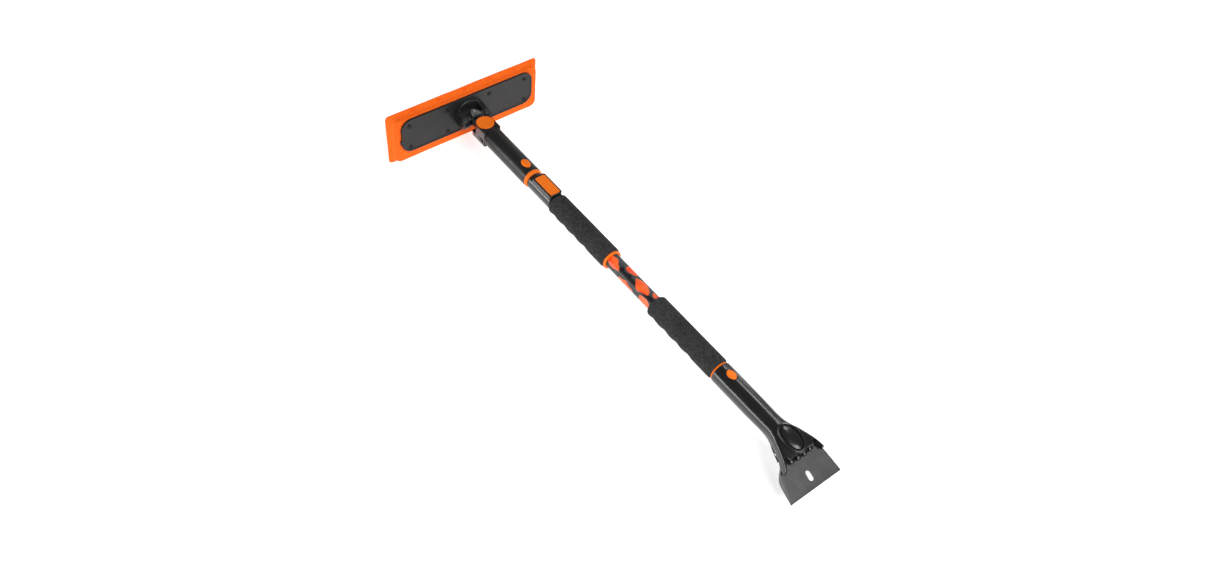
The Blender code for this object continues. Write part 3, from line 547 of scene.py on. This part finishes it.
def foam_pad():
    lo, hi = span("foam_pad")
    middle = (lo.z + hi.z) / 2
    thick = hi.x - lo.x
    lip = 1.5                 # depth of the rounded front lip
    flare = 7.6               # how far the front stands out past the back
    stations = []
    edge = 1.6                # radius of the rear edge
    depths = [0, 0.4, 0.9, lip] + [lip + (thick - edge - lip) * i / 12 for i in range(1, 13)]
    depths += [thick - edge * t for t in (0.5, 0.22, 0.0)]
    for d in depths:
        if d < lip:
            inset = lip * (1 - math.sqrt(1 - (1 - d / lip) ** 2))
        else:
            inset = flare * (1 - math.exp(-((d - lip) / 4.6) ** 1.5))
        round_off = min(1.0, max(0.0, d - (thick - edge)) / edge)
        inset += edge * (1 - math.sqrt(1 - round_off ** 2))
        stations.append((lo.x + d, pad_ring(hi.y - inset, (hi.z - lo.z) / 2 - inset,
                                            6 + 0.38 * d, middle)))
    pad = loft("push_head_foam", stations)
    ripple(pad, 34, 0.35)
    plate_lo, plate_hi = span("pad_insert")
    pad = cut(pad, block("pad_pocket", (plate_lo.x - 0.3, plate_lo.y - 0.3, plate_lo.z - 0.3),
                         (hi.x + 4, plate_hi.y + 0.3, plate_hi.z + 0.3), corner=10.3, axis="X"))
    dimples, pitch = 5, 52.0  # moulding marks along the upper side
    for i in range(dimples):
        bm = bmesh.new()
        bmesh.ops.create_uvsphere(bm, u_segments=20, v_segments=12, radius=1.0)
        bmesh.ops.scale(bm, vec=(2.4, 4.4, 1.9), verts=bm.verts)
        spot = Matrix.Translation((lo.x + 5.0, (i - dimples // 2) * pitch, hi.z - 3.4))
        cut(pad, to_object("dimple", bm, spot @ Matrix.Rotation(math.radians(35), 4, "Y")))
    dress(pad, "foam_pad")


def grip(node, name):
    """Foam sleeve with rolled ends and shallow finger waves on its underside."""
    lo, hi = span(node)
    outer = (hi.z - lo.z) / 2
    bore = 13.0
    length = hi.x - lo.x
    roll = 5.0
    rings = []
    count = round(length / 1.5)
    xs = [0.0, 0.25, 0.7, 1.4, 2.4, 3.6]
    middle = [roll + (length - 2 * roll) * i / count for i in range(count + 1)]
    xs = xs + middle + [length - x for x in reversed(xs)]
    pitch, waves = 27.0, 4    # finger waves along the sleeve
    start = 1.0               # the first one begins this far from the end
    for x in xs:
        near = min(x, length - x)
        edge = max(0.0, 1 - near / roll)
        radius = outer - 3.4 * (1 - math.sqrt(max(0.0, 1 - edge ** 2)))
        phase = (x - start) / pitch
        dip = 0.5 - 0.5 * math.cos(2 * math.pi * phase) if 0 < phase < waves else 0.0
        ring = []
        for i in range(SIDES):
            t = 2 * math.pi * i / SIDES
            under = max(0.0, math.cos(t - math.radians(246))) ** 1.3
            r = radius - 1.7 * dip ** 1.4 * under
            ring.append((lo.x + x, r * math.cos(t), r * math.sin(t)))
        rings.append(ring)
    for x in (hi.x, lo.x):
        rings.append([(x, bore * math.cos(2 * math.pi * i / SIDES),
                       bore * math.sin(2 * math.pi * i / SIDES)) for i in range(SIDES)])
    bm = bmesh.new()
    made = [[bm.verts.new(p) for p in ring] for ring in rings]
    for a, b in zip(made, made[1:] + made[:1]):
        for i in range(SIDES):
            j = (i + 1) % SIDES
            bm.faces.new((a[i], a[j], b[j], b[i]))
    sleeve = to_object(name, bm)
    dress(sleeve, node)


# ---------------------------------------------------------------- plate and hub
def screw_head(name, x, y, z, radius, node):
    """A pan head with a cross recess, facing +X."""
    head = turned(name, [(x - 6.0, 0), (x - 6.0, 1.5), (x - 1.8, 1.5), (x - 1.8, radius),
                         (x - 0.7, radius - 0.1), (x, radius - 1.5), (x, 0)],
                  "X", (y, z), SIDES_SMALL, ease=0.3)
    for w, h in ((0.45, 1.9), (1.9, 0.45)):
        cut(head, block("recess", (x - 0.9, y - w, z - h), (x + 1, y + w, z + h)))
    dress(head, node)


def backing_plate():
    lo, hi = span("backing_plate")
    half_w = hi.y
    rim = 2.8
    face = hi.x - 1.0         # the dished face that the screws sit in
    plate = block("head_plate", (lo.x, -half_w, lo.z), (hi.x, half_w, hi.z), corner=20, axis="X",
                  steps=16)
    cut(plate, block("dish", (face, -half_w + rim, lo.z + rim),
                     (face + 6, half_w - rim, hi.z - rim), corner=20 - rim, axis="X", steps=16))
    join(plate, block("tab", (lo.x + 0.5, lo.y, -14), (face, -half_w + 2, -4), corner=1.5,
                      axis="X"))
    for i in range(SCREWS):
        s_lo, s_hi = span("plate_screw_%d" % (i + 1))
        y, z = (s_lo.y + s_hi.y) / 2, (s_lo.z + s_hi.z) / 2
        cut(plate, rod("seat", face - 1.2, face + 3, 4.4, "X", (y, z)))
        screw_head("head_screw_%d" % (i + 1), s_hi.x, y, z, 3.5, "plate_screw_%d" % (i + 1))
    soften(plate, 0.45)
    dress(plate, "backing_plate")


def hub():
    """Round boss with two ears for the tilt pin."""
    lo = span("hub_bracket")[0]
    tilt = span("tilt_pin")
    tilt_x = (tilt[0].x + tilt[1].x) / 2
    ear_r = 12.0
    boss = turned("hub", [(lo.x, 0), (lo.x, 27.0), (lo.x + 0.8, 27.0), (lo.x + 1.8, 26.0),
                          (lo.x + 2.2, 24.0), (lo.x + 2.2, 0)], "X", ease=0.4)
    outline = [(lo.x + 1, -15.0)] + arc(tilt_x, 0, ear_r, -80, 80, 40) + [(lo.x + 1, 15.0)]
    for side in (-1, 1):
        ys = sorted((side * 17.0, side * 26.5))
        join(boss, prism("ear", outline, ys[0], ys[1], "Y"))
    cut(boss, rod("pin_bore", -30, 30, PIN_BORE, "Y", (tilt_x, 0)))
    for side in (-1, 1):      # the outer face of each ear is a low dome
        dome = turned("ear_dome", [(side * 20.0, 0), (side * 20.0, ear_r - 0.8),
                                   (side * 26.6, ear_r - 0.8), (side * 27.9, 9.0),
                                   (side * 28.4, 5.5), (side * 28.4, 0)], "Y", (tilt_x, 0),
                      ease=1.5)
        join(boss, cut(dome, rod("pin_way", -30, 30, PIN_BORE, "Y", (tilt_x, 0))))
    soften(boss, 0.6)
    dress(boss, "hub_bracket")
    pin = turned("tilt_pin_look", [(-29.0, 0), (-29.0, 2.2), (-28.4, 3.1), (28.6, 3.1),
                                   (29.2, 2.4), (29.2, 0)], "Y", (tilt_x, 0), SIDES_SMALL,
                 ease=0.3)
    dress(pin, "tilt_pin")
    cap = turned("tilt_pin_cap_look", [(28.5, 3.2), (28.5, 5.0), (29.0, 4.6), (29.2, 3.2)],
                 "Y", (tilt_x, 0), SIDES_SMALL)
    dress(cap, "tilt_pin_cap")


# ---------------------------------------------------------------- knuckle and catch
def knuckle():
    tilt = span("tilt_pin")
    tilt_x = (tilt[0].x + tilt[1].x) / 2
    body = turned("knuckle_body", [(-16.6, 0), (-16.6, 11.0), (16.6, 11.0), (16.6, 0)],
                  "Y", (tilt_x, 0), SIDES, ease=0.9)
    join(body, block("neck", (tilt_x + 2, -6.3, -6.0), (-4, 6.3, 5.0)))
    join(body, rod("eye", -6.0, 5.0, 13.0, sides=SIDES))
    saddle = (-41.4, -23.4)
    join(body, block("saddle", (saddle[0], -11, -2), (saddle[1], 11, 11.5), corner=3))
    cut(body, rod("bore", -30, 30, PIN_BORE, "Y", (tilt_x, 0)))
    cut(body, rod("eye_bore", -10, 10, AXLE_BORE, sides=SIDES))
    soften(body, 0.6)
    dress(body, "tilt_knuckle")


def catch():
    """Cast catch: an eye round its screw, widening to a ribbed thumb edge."""
    lo, hi = span("tilt_catch")
    s_lo, s_hi = span("catch_screw")
    sx = (s_lo.x + s_hi.x) / 2
    outline = arc(sx - 1, 0, 5.0, 110, 250, 24)
    outline += arc(-30.5, -7.3, 1.0, 200, 270, 4) + arc(hi.x - 1, -7.3, 1.0, -90, 0, 5)
    outline += arc(hi.x - 1, 7.3, 1.0, 0, 90, 5) + arc(-30.5, 7.3, 1.0, 90, 160, 4)
    plate = prism("catch_plate", outline, lo.z, hi.z)
    hole = arc(sx - 2.2, 0, 2.3, 90, 270, 16) + arc(sx + 0.2, 0, 2.3, -90, 90, 16)
    cut(plate, prism("catch_slot", hole, lo.z - 2, hi.z + 2))
    cut(plate, rod("screw_seat", hi.z - 0.9, hi.z + 3, 4.1, centre=(sx, 0)))
    for i in range(3):
        x = -30.4 + 1.8 * i
        cut(plate, block("rib_gap", (x, -7.0, hi.z - 1.3), (x + 0.9, 7.0, hi.z + 2)))
    soften(plate, 0.22)
    dress(plate, "tilt_catch")
    top = s_hi.z
    head = turned("catch_screw_look", [(top - 11, 0), (top - 11, 1.7), (top - 1.4, 1.7),
                                       (top - 1.4, 2.9), (top - 0.5, 2.9), (top, 2.1), (top, 0)],
                  "Z", (sx, 0), SIDES_SMALL, ease=0.2)
    for w, h in ((0.6, 2.0), (2.0, 0.6)):
        cut(head, block("recess", (sx - w, -h, top - 1.2), (sx + w, h, top + 1)))
    dress(head, "catch_screw")


# ---------------------------------------------------------------- swivel housing
def swivel():
    """Fork box with a round button well, triangular pockets and a spigot."""
    lo, hi = span("swivel_housing")
    b_lo, b_hi = span("swivel_button")
    radius = (b_hi.y - b_lo.y) / 2
    half = 17.0
    end = 23.7                # where the box meets the socket
    box = block("swivel_box", (lo.x, -half, lo.z), (end, half, 14.5), corner=3.2)
    join(box, rod("spigot", 20, hi.x, 15.7, "X", sides=SIDES))
    cut(box, block("chamber", (-20, -14, -6.5), (16, 14, 5.5)))
    cut(box, block("mouth", (-20, -20, -6.5), (-4, 20, 5.5)))
    cut(box, rod("well", 8.8, 20, radius + 0.45, sides=SIDES))
    cut(box, rod("axle_bore", -20, 20, AXLE_BORE, sides=SIDES))
    cut(box, rod("axle_seat", -20, -13.9, 9.5, sides=SIDES))
    window = [(5.0, -3.4), (18.5, -3.4), (18.5, -12.5)]
    for side in (-1, 1):
        ys = sorted((side * 14.8, side * 20))
        cut(box, prism("window", window, ys[0], ys[1], "Y"))
    soften(box, 0.55)
    dress(box, "swivel_housing")
    button = turned("round_button", [(3.0, 0), (3.0, 4.0), (11.5, 4.0), (11.5, radius),
                                     (b_hi.z - 0.1, radius), (b_hi.z, radius - 1.4),
                                     (b_hi.z - 0.4, 9.0), (b_hi.z - 0.6, 4.0),
                                     (b_hi.z - 0.6, 0)], ease=0.7)
    dress(button, "swivel_button")


# ---------------------------------------------------------------- tubes and sockets
def snap_button(node, name):
    """Oval button with a gently crowned top."""
    lo, hi = span(node)
    reach = (hi.x - lo.x) / 2 - 1.4
    wide = (hi.y - lo.y) / 2 / (reach + 1.4)
    x = (lo.x + hi.x) / 2
    top = hi.z
    button = turned(name, [(lo.z, 0), (lo.z, reach + 1.4), (lo.z + 1.3, reach + 1.4),
                           (lo.z + 1.3, reach), (top - 1.0, reach), (top - 0.35, reach - 1.6),
                           (top, reach - 4.5), (top, 0)], "Z", (x, 0), 64, wide, ease=0.8)
    dress(button, node)


def snap_well(tube, node, wall_top):
    """The oval hole round a snap button, with a shallow dished surround."""
    lo, hi = span(node)
    reach = (hi.x - lo.x) / 2 - 1.4
    wide = (hi.y - lo.y) / 2 / (reach + 1.4)
    x = (lo.x + hi.x) / 2
    cut(tube, rod("snap_hole", 5, 25, reach + 0.45, centre=(x, 0), sides=64, squash=wide))
    cut(tube, turned("snap_dish", [(wall_top - 1.1, 0), (wall_top - 1.1, reach + 0.9),
                                   (wall_top + 3, reach + 3.4), (wall_top + 3, 0)],
                     "Z", (x, 0), 64, wide))


def head_socket():
    lo, hi = span("head_socket")
    r = (hi.y - lo.y) / 2
    tube = turned("socket_tube", [(lo.x, SOCKET_BORE), (lo.x, r - 0.9), (lo.x + 2.0, r),
                                  (hi.x, r), (hi.x, SOCKET_BORE)], "X", ease=0.8)
    snap_well(tube, "head_release_button", r)
    soften(tube, 0.4)
    dress(tube, "head_socket")


def connector(node, name, profile, channel):
    """Orange plug with a channel for its leaf spring."""
    plug = turned(name, profile, "X", ease=0.5)
    cut(plug, block("channel", (channel[0], -9.2, 8.5), (channel[1], 9.2, 25)))
    soften(plug, 0.35)
    dress(plug, node)


def tubes():
    lo, hi = span("inner_tube")
    inner = turned("sliding_tube", [(lo.x, 9.5), (lo.x, hi.z), (hi.x, hi.z), (hi.x, 9.5)], "X",
                   ease=0.3)
    dress(inner, "inner_tube")
    lo, hi = span("outer_tube")
    outer = turned("handle_tube", [(lo.x, 11.0), (lo.x, hi.z), (hi.x, hi.z), (hi.x, 11.0)], "X",
                   ease=0.3)
    dress(outer, "outer_tube")
    lo, hi = span("grip_collar")
    collar = turned("collar_ring", [(lo.x, 13.0), (lo.x, hi.z), (hi.x, hi.z), (hi.x, 13.0)], "X",
                    ease=1.0)
    dress(collar, "grip_collar")
    lo, hi = span("head_connector")
    ring = lo.x + 49.3        # where the plug meets its flange
    connector("head_connector", "head_plug", [
        (lo.x, 0), (lo.x, 14.6), (lo.x + 1.2, 15.8), (ring, 15.8), (ring, 17.2),
        (ring + 4.2, 17.2), (ring + 4.8, 15.6), (ring + 6.2, 15.0), (ring + 6.2, 9.2),
        (hi.x, 9.2), (hi.x, 0)], (lo.x - 7, lo.x + 44))
    lo, hi = span("scraper_connector")
    ring = lo.x + 42.4
    connector("scraper_connector", "scraper_plug", [
        (lo.x, 0), (lo.x, 10.7), (ring, 10.7), (ring, 15.9), (ring + 1.6, 16.2),
        (ring + 2.8, 15.8), (hi.x - 1.2, 15.8), (hi.x, 14.6), (hi.x, 0)], (lo.x + 54, hi.x + 7))


# ---------------------------------------------------------------- extension lock
def lock():
    lo, hi = span("lock_housing")
    b_lo, b_hi = span("extension_button")
    r = 15.7
    top = hi.z
    shell = turned("lock_shell", [(lo.x, 0), (lo.x, 14.4), (lo.x + 2.6, r), (hi.x - 2.6, r),
                                  (hi.x, 14.4), (hi.x, 0)], "X", ease=1.2)
    hump = block("hump", (156.4, -12.6, 6), (209.6, 12.6, top), corner=5, rim=1.4)
    join(shell, hump)
    cut(shell, rod("bore_front", 140, 180, 11.2, "X", sides=SIDES))
    cut(shell, rod("bore_rear", 170, 220, 13.0, "X", sides=SIDES))
    gap = 0.45
    cut(shell, block("well", (b_lo.x - gap, b_lo.y - gap, 14), (b_hi.x + gap, b_hi.y + gap, 25),
                     corner=3.4))
    cut(shell, block("shoe_window", (162, -5.2, 5), (169.7, 5.2, 15)))
    soften(shell, 0.5)
    dress(shell, "lock_housing")
    button = block("slide_button", (b_lo.x, b_lo.y, 16.0), (b_hi.x, b_hi.y, b_hi.z), corner=3,
                   rim=0.7)
    dress(button, "extension_button")


# ---------------------------------------------------------------- scraper
NECK = (17.8, 17.8, -17.8, 0.0, 2.0, 2.0)
# x, half width, crown, underside, height of the widest line, squareness above and below it
BODY = [
    (617.6, 17.3, 17.3, -17.3, 0.0, 2.0, 2.0), (618.4, *NECK), (650.0, *NECK), (690.0, *NECK),
    (708.0, 17.4, 17.5, -17.3, 0.0, 2.0, 2.0), (722.0, 17.2, 17.3, -16.4, 0.0, 2.0, 2.0),
    (732.0, 17.5, 17.2, -15.4, 0.0, 2.1, 2.2), (740.0, 18.8, 17.0, -14.0, 0.2, 2.3, 2.5),
    (748.0, 21.4, 16.4, -12.0, 0.4, 2.8, 3.0), (756.0, 24.8, 15.4, -9.8, 0.6, 4.2, 4.0),
    (765.0, 28.4, 14.2, -7.6, 0.6, 6.0, 5.0), (775.0, 32.2, 12.6, -6.6, 0.4, 7.5, 6.0),
    (785.0, 36.0, 10.6, -6.5, -0.4, 7.5, 6.0), (791.0, 38.2, 9.0, -6.5, -1.4, 6.0, 6.0),
    (795.5, 39.8, 7.4, -6.4, -2.4, 5.0, 6.0),
]
# x, half width, thickness, depth of the side skirts
BLADE = [
    (763.0, 21.6, 4.0, 0.3), (775.0, 26.6, 4.0, 0.4), (783.0, 33.0, 4.0, 4.0),
    (790.0, 39.4, 4.0, 8.6), (796.0, 41.8, 3.8, 9.8), (803.0, 43.4, 3.6, 8.2),
    (815.0, 46.0, 3.2, 4.0), (824.0, 48.0, 2.2, 1.0), (827.6, 48.8, 1.0, 0.3),
]
BLADE_ANGLE = math.radians(27.0)
BLADE_LO, BLADE_HI = span("scraper_blade")


def between(rows, pitch):
    """The stations of a table, with smooth ones put in between at about the given pitch."""
    out = []
    for k in range(len(rows) - 1):
        a, b, c, d = (rows[min(max(k + i, 0), len(rows) - 1)] for i in (-1, 0, 1, 2))
        steps = max(1, round((c[0] - b[0]) / pitch))
        for i in range(steps):
            t = i / steps
            row = []
            for pa, pb, pc, pd, xa, xb, xc, xd in zip(a, b, c, d, *([r[0]] * len(a)
                                                      for r in (a, b, c, d))):
                before = (pc - pa) / (xc - xa) * (xc - xb)
                after = (pd - pb) / (xd - xb) * (xc - xb)
                row.append(pb * (2 * t ** 3 - 3 * t ** 2 + 1) + before * (t ** 3 - 2 * t ** 2 + t)
                           + pc * (3 * t ** 2 - 2 * t ** 3) + after * (t ** 3 - t ** 2))
            out.append(tuple(row))
    return out + [rows[-1]]


def body_ring(x, half_w, crown, under, widest, square_up, square_down):
    """A crowned section above the widest line and a boxier one below it. On the wings the
    side walls lean in towards the top."""
    wing = min(1.0, max(0.0, (x - 742.0) / 22.0))
    widest -= 3.4 * wing
    pts = []
    for i in range(SIDES):
        t = 2 * math.pi * (i + 0.5) / SIDES
        c, s = math.cos(t), math.sin(t)
        power = 2 / (square_up if s > 0 else square_down)
        height = crown - widest if s > 0 else widest - under
        rise = max(0.0, math.copysign(abs(s) ** power, s))
        pts.append((half_w * (1 - 0.11 * wing * rise) * math.copysign(abs(c) ** power, c),
                    widest + height * math.copysign(abs(s) ** power, s)))
    return pts


def blade_z(x):
    """Height of the blade's middle surface."""
    tip = blade_tip()
    return tip + (BLADE_HI.x - x) * math.tan(BLADE_ANGLE)


def blade_tip():
    return BLADE_LO.z + 0.86


def blade_ring(x, half_w, thick, skirt):
    """Channel section: a flat top with a skirt under each side edge."""
    half = thick / 2 / math.cos(BLADE_ANGLE)
    top = blade_z(x) + half
    low = blade_z(x) - half
    right = [(half_w - 1.6, top), (half_w - 0.5, top - 0.3), (half_w, top - 1.0),
             (half_w, low - skirt), (half_w - 2.4, low - skirt), (half_w - 2.8, low)]
    return right + [(-y, z) for y, z in right[::-1]]


def scraper():
    seat_x = 772.0
    seat = (Matrix.Translation((seat_x, 0, blade_z(seat_x)))
            @ Matrix.Rotation(BLADE_ANGLE, 4, "Y"))
    rest = Matrix.Translation((764.0, 0, 13.9)) @ Matrix.Rotation(math.radians(9.0), 4, "Y")
    body = loft("scraper_shell", [(row[0], body_ring(*row)) for row in between(BODY, 2.5)])
    rise = 2.3 / math.cos(BLADE_ANGLE)
    for start, end, half_w in ((762.4, 776.0, 27.2), (775.8, 800.0, 46.0)):
        under = [(start, blade_z(start) + rise), (end, blade_z(end) + rise), (end, -60),
                 (start, -60)]
        cut(body, prism("blade_seat", under, -half_w, half_w, "Y"))
    cut(body, rod("neck_bore", 610, 669, SOCKET_BORE, "X", sides=SIDES))
    snap_well(body, "scraper_release_button", 17.8)
    hollow = [(752.0, 16.0), (770.0, 20.0), (800.0, 22.4), (800.0, 31.0), (785.0, 27.4),
              (765.0, 21.6), (756.0, 18.6)]
    for side in (-1, 1):
        cut(body, prism("hollow", [(x, side * y) for x, y in hollow], -20, 3.4))
        along_wall = (Matrix.Translation((752.0, side * 22.6, 0))
                      @ Matrix.Rotation(side * math.radians(21.5), 4, "Z"))
        ys = sorted((-side * 1.3, side * 4.0))
        cut(body, block("slit", (0, ys[0], -4.6), (27.0, ys[1], -1.6), corner=1.2, axis="Y",
                        move=along_wall))
    notch = [(810.0, 34.2), (795.0, 33.8), (780.0, 27.6), (787.0, 23.0), (786.0, 12.0)]
    front = [(x, -y) for x, y in notch] + [(786.5, 0.0)] + notch[::-1]
    cut(body, prism("front_edge", front, -40, 40))
    soften(body, 0.5, angle=34)
    join(body, turned("rest_ring", [(-5, 0), (-5, 25.6), (1.4, 25.2), (2.9, 24.4), (3.1, 23.4),
                                    (2.4, 22.4), (2.4, 0)], sides=SIDES, squash=0.62, ease=0.8,
                      move=rest))
    cut(body, rod("rest_seat", -0.6, 8, 21.4, sides=SIDES, squash=0.6, move=rest))
    teeth, pitch = 4, 12.0
    for i in range(teeth):
        off = i - (teeth - 1) / 2
        along = (787.4 - abs(off) - seat_x) * math.cos(BLADE_ANGLE)
        top = 13.0 - 0.5 * abs(off)
        join(body, turned("tooth", [(2.4, 0), (2.4, 4.2), (top - 1.2, 4.2), (top, 2.6), (top, 0)],
                          "Z", (along, off * pitch), SIDES_SMALL, ease=0.9, move=seat))
    dress(body, "scraper_body")

    dome = turned("thumb_dome", [(-0.3, 0), (-0.3, 20.9), (1.4, 20.9), (2.9, 19.0), (4.1, 14.0),
                                 (4.7, 8.0), (4.9, 0)], sides=SIDES, squash=0.58, ease=2.0,
                  move=rest)
    dress(dome, "thumb_rest")

    blade = loft("ice_blade", [(row[0], blade_ring(*row)) for row in between(BLADE, 2.0)])
    hang = arc(814, 0, 4.4, -90, 90, 20) + arc(808, 0, 4.4, 90, 270, 20)
    cut(blade, prism("hang_slot", hang, -50, 0))
    soften(blade, 0.3, angle=50)
    dress(blade, "scraper_blade")


# ---------------------------------------------------------------- the rest of the CAD nodes
def finish_cad_nodes():
    """Every CAD node that still shows takes its slot's material."""
    for node, obj in frame["nodes"].items():
        if obj.hide_render:
            continue
        for place_in in obj.material_slots:
            place_in.material = LOOK[SLOT_OF[node]]
        if not obj.material_slots:
            obj.data.materials.append(LOOK[SLOT_OF[node]])


# ---------------------------------------------------------------- stage, light and camera
def stage():
    look = Look("pale_floor", rough=0.8, specular_ior_level=0.1, emission_strength=0.66,
                emission_color=(1, 1, 1, 1))
    look.colour((0.84, 0.84, 0.84))
    bpy.ops.mesh.primitive_plane_add(size=14, location=(0, 0, -0.0006))
    floor = bpy.context.object
    floor.name = "floor"
    floor.data.materials.append(look.mat)


def area_light(name, aim, azimuth, elevation, distance, size, power):
    a, e = math.radians(azimuth), math.radians(elevation)
    back = Vector((math.sin(a) * math.cos(e), -math.cos(a) * math.cos(e), math.sin(e)))
    data = bpy.data.lights.new(name, "AREA")
    data.shape = "RECTANGLE"
    data.size, data.size_y = size
    data.energy = power
    obj = bpy.data.objects.new(name, data)
    obj.location = aim + back * distance
    obj.rotation_mode = "QUATERNION"
    obj.rotation_quaternion = (-back).to_track_quat("-Z", "Y")
    bpy.context.scene.collection.objects.link(obj)


def lights():
    """Soft boxes left and right leave the middle of a black pole dark, as in the picture."""
    middle = TOOL.translation + Vector((0.4, 0, 0))
    area_light("key", middle, 90, 47, 2.2, (1.5, 1.2), 42)
    area_light("right", middle, 211, 31, 2.4, (1.6, 0.5), 4)
    area_light("left_strip", middle, -28, 5, 2.4, (2.4, 0.22), 28)
    area_light("over_scraper", middle, 200, 55, 2.4, (0.6, 0.6), 7)
    world = bpy.data.worlds.new("studio")
    bpy.context.scene.world = world
    world.use_nodes = True
    back = world.node_tree.nodes["Background"]
    back.inputs["Color"].default_value = (1, 1, 1, 1)
    back.inputs["Strength"].default_value = 0.20


def camera():
    """The picture is taken from above the scraper end, turned a little about its own axis."""
    aim = TOOL @ (Vector((395.8, -23.2, 0)) * MM)
    azimuth, elevation, roll = math.radians(46.67), math.radians(49.64), math.radians(7.37)
    distance = 1.6436
    back = Vector((math.sin(azimuth) * math.cos(elevation),
                   -math.cos(azimuth) * math.cos(elevation), math.sin(elevation)))
    data = bpy.data.cameras.new("camera")
    data.sensor_width = 36.0
    data.lens = 31.25
    data.clip_start, data.clip_end = 0.05, 30
    obj = bpy.data.objects.new("camera", data)
    obj.location = aim + back * distance
    obj.rotation_mode = "QUATERNION"
    level = (-back).to_track_quat("-Z", "Y")
    obj.rotation_quaternion = level @ Matrix.Rotation(roll, 3, "Z").to_quaternion()
    bpy.context.scene.collection.objects.link(obj)
    bpy.context.scene.camera = obj
    bpy.context.scene.view_settings.view_transform = "Standard"


# ---------------------------------------------------------------- build it
camera()
lights()
stage()
foam_pad()
backing_plate()
hub()
knuckle()
catch()
swivel()
head_socket()
tubes()
lock()
snap_button("head_release_button", "oval_button_head")
snap_button("scraper_release_button", "oval_button_scraper")
grip("foam_grip_upper", "grip_sleeve_upper")
grip("foam_grip_lower", "grip_sleeve_lower")
scraper()
finish_cad_nodes()
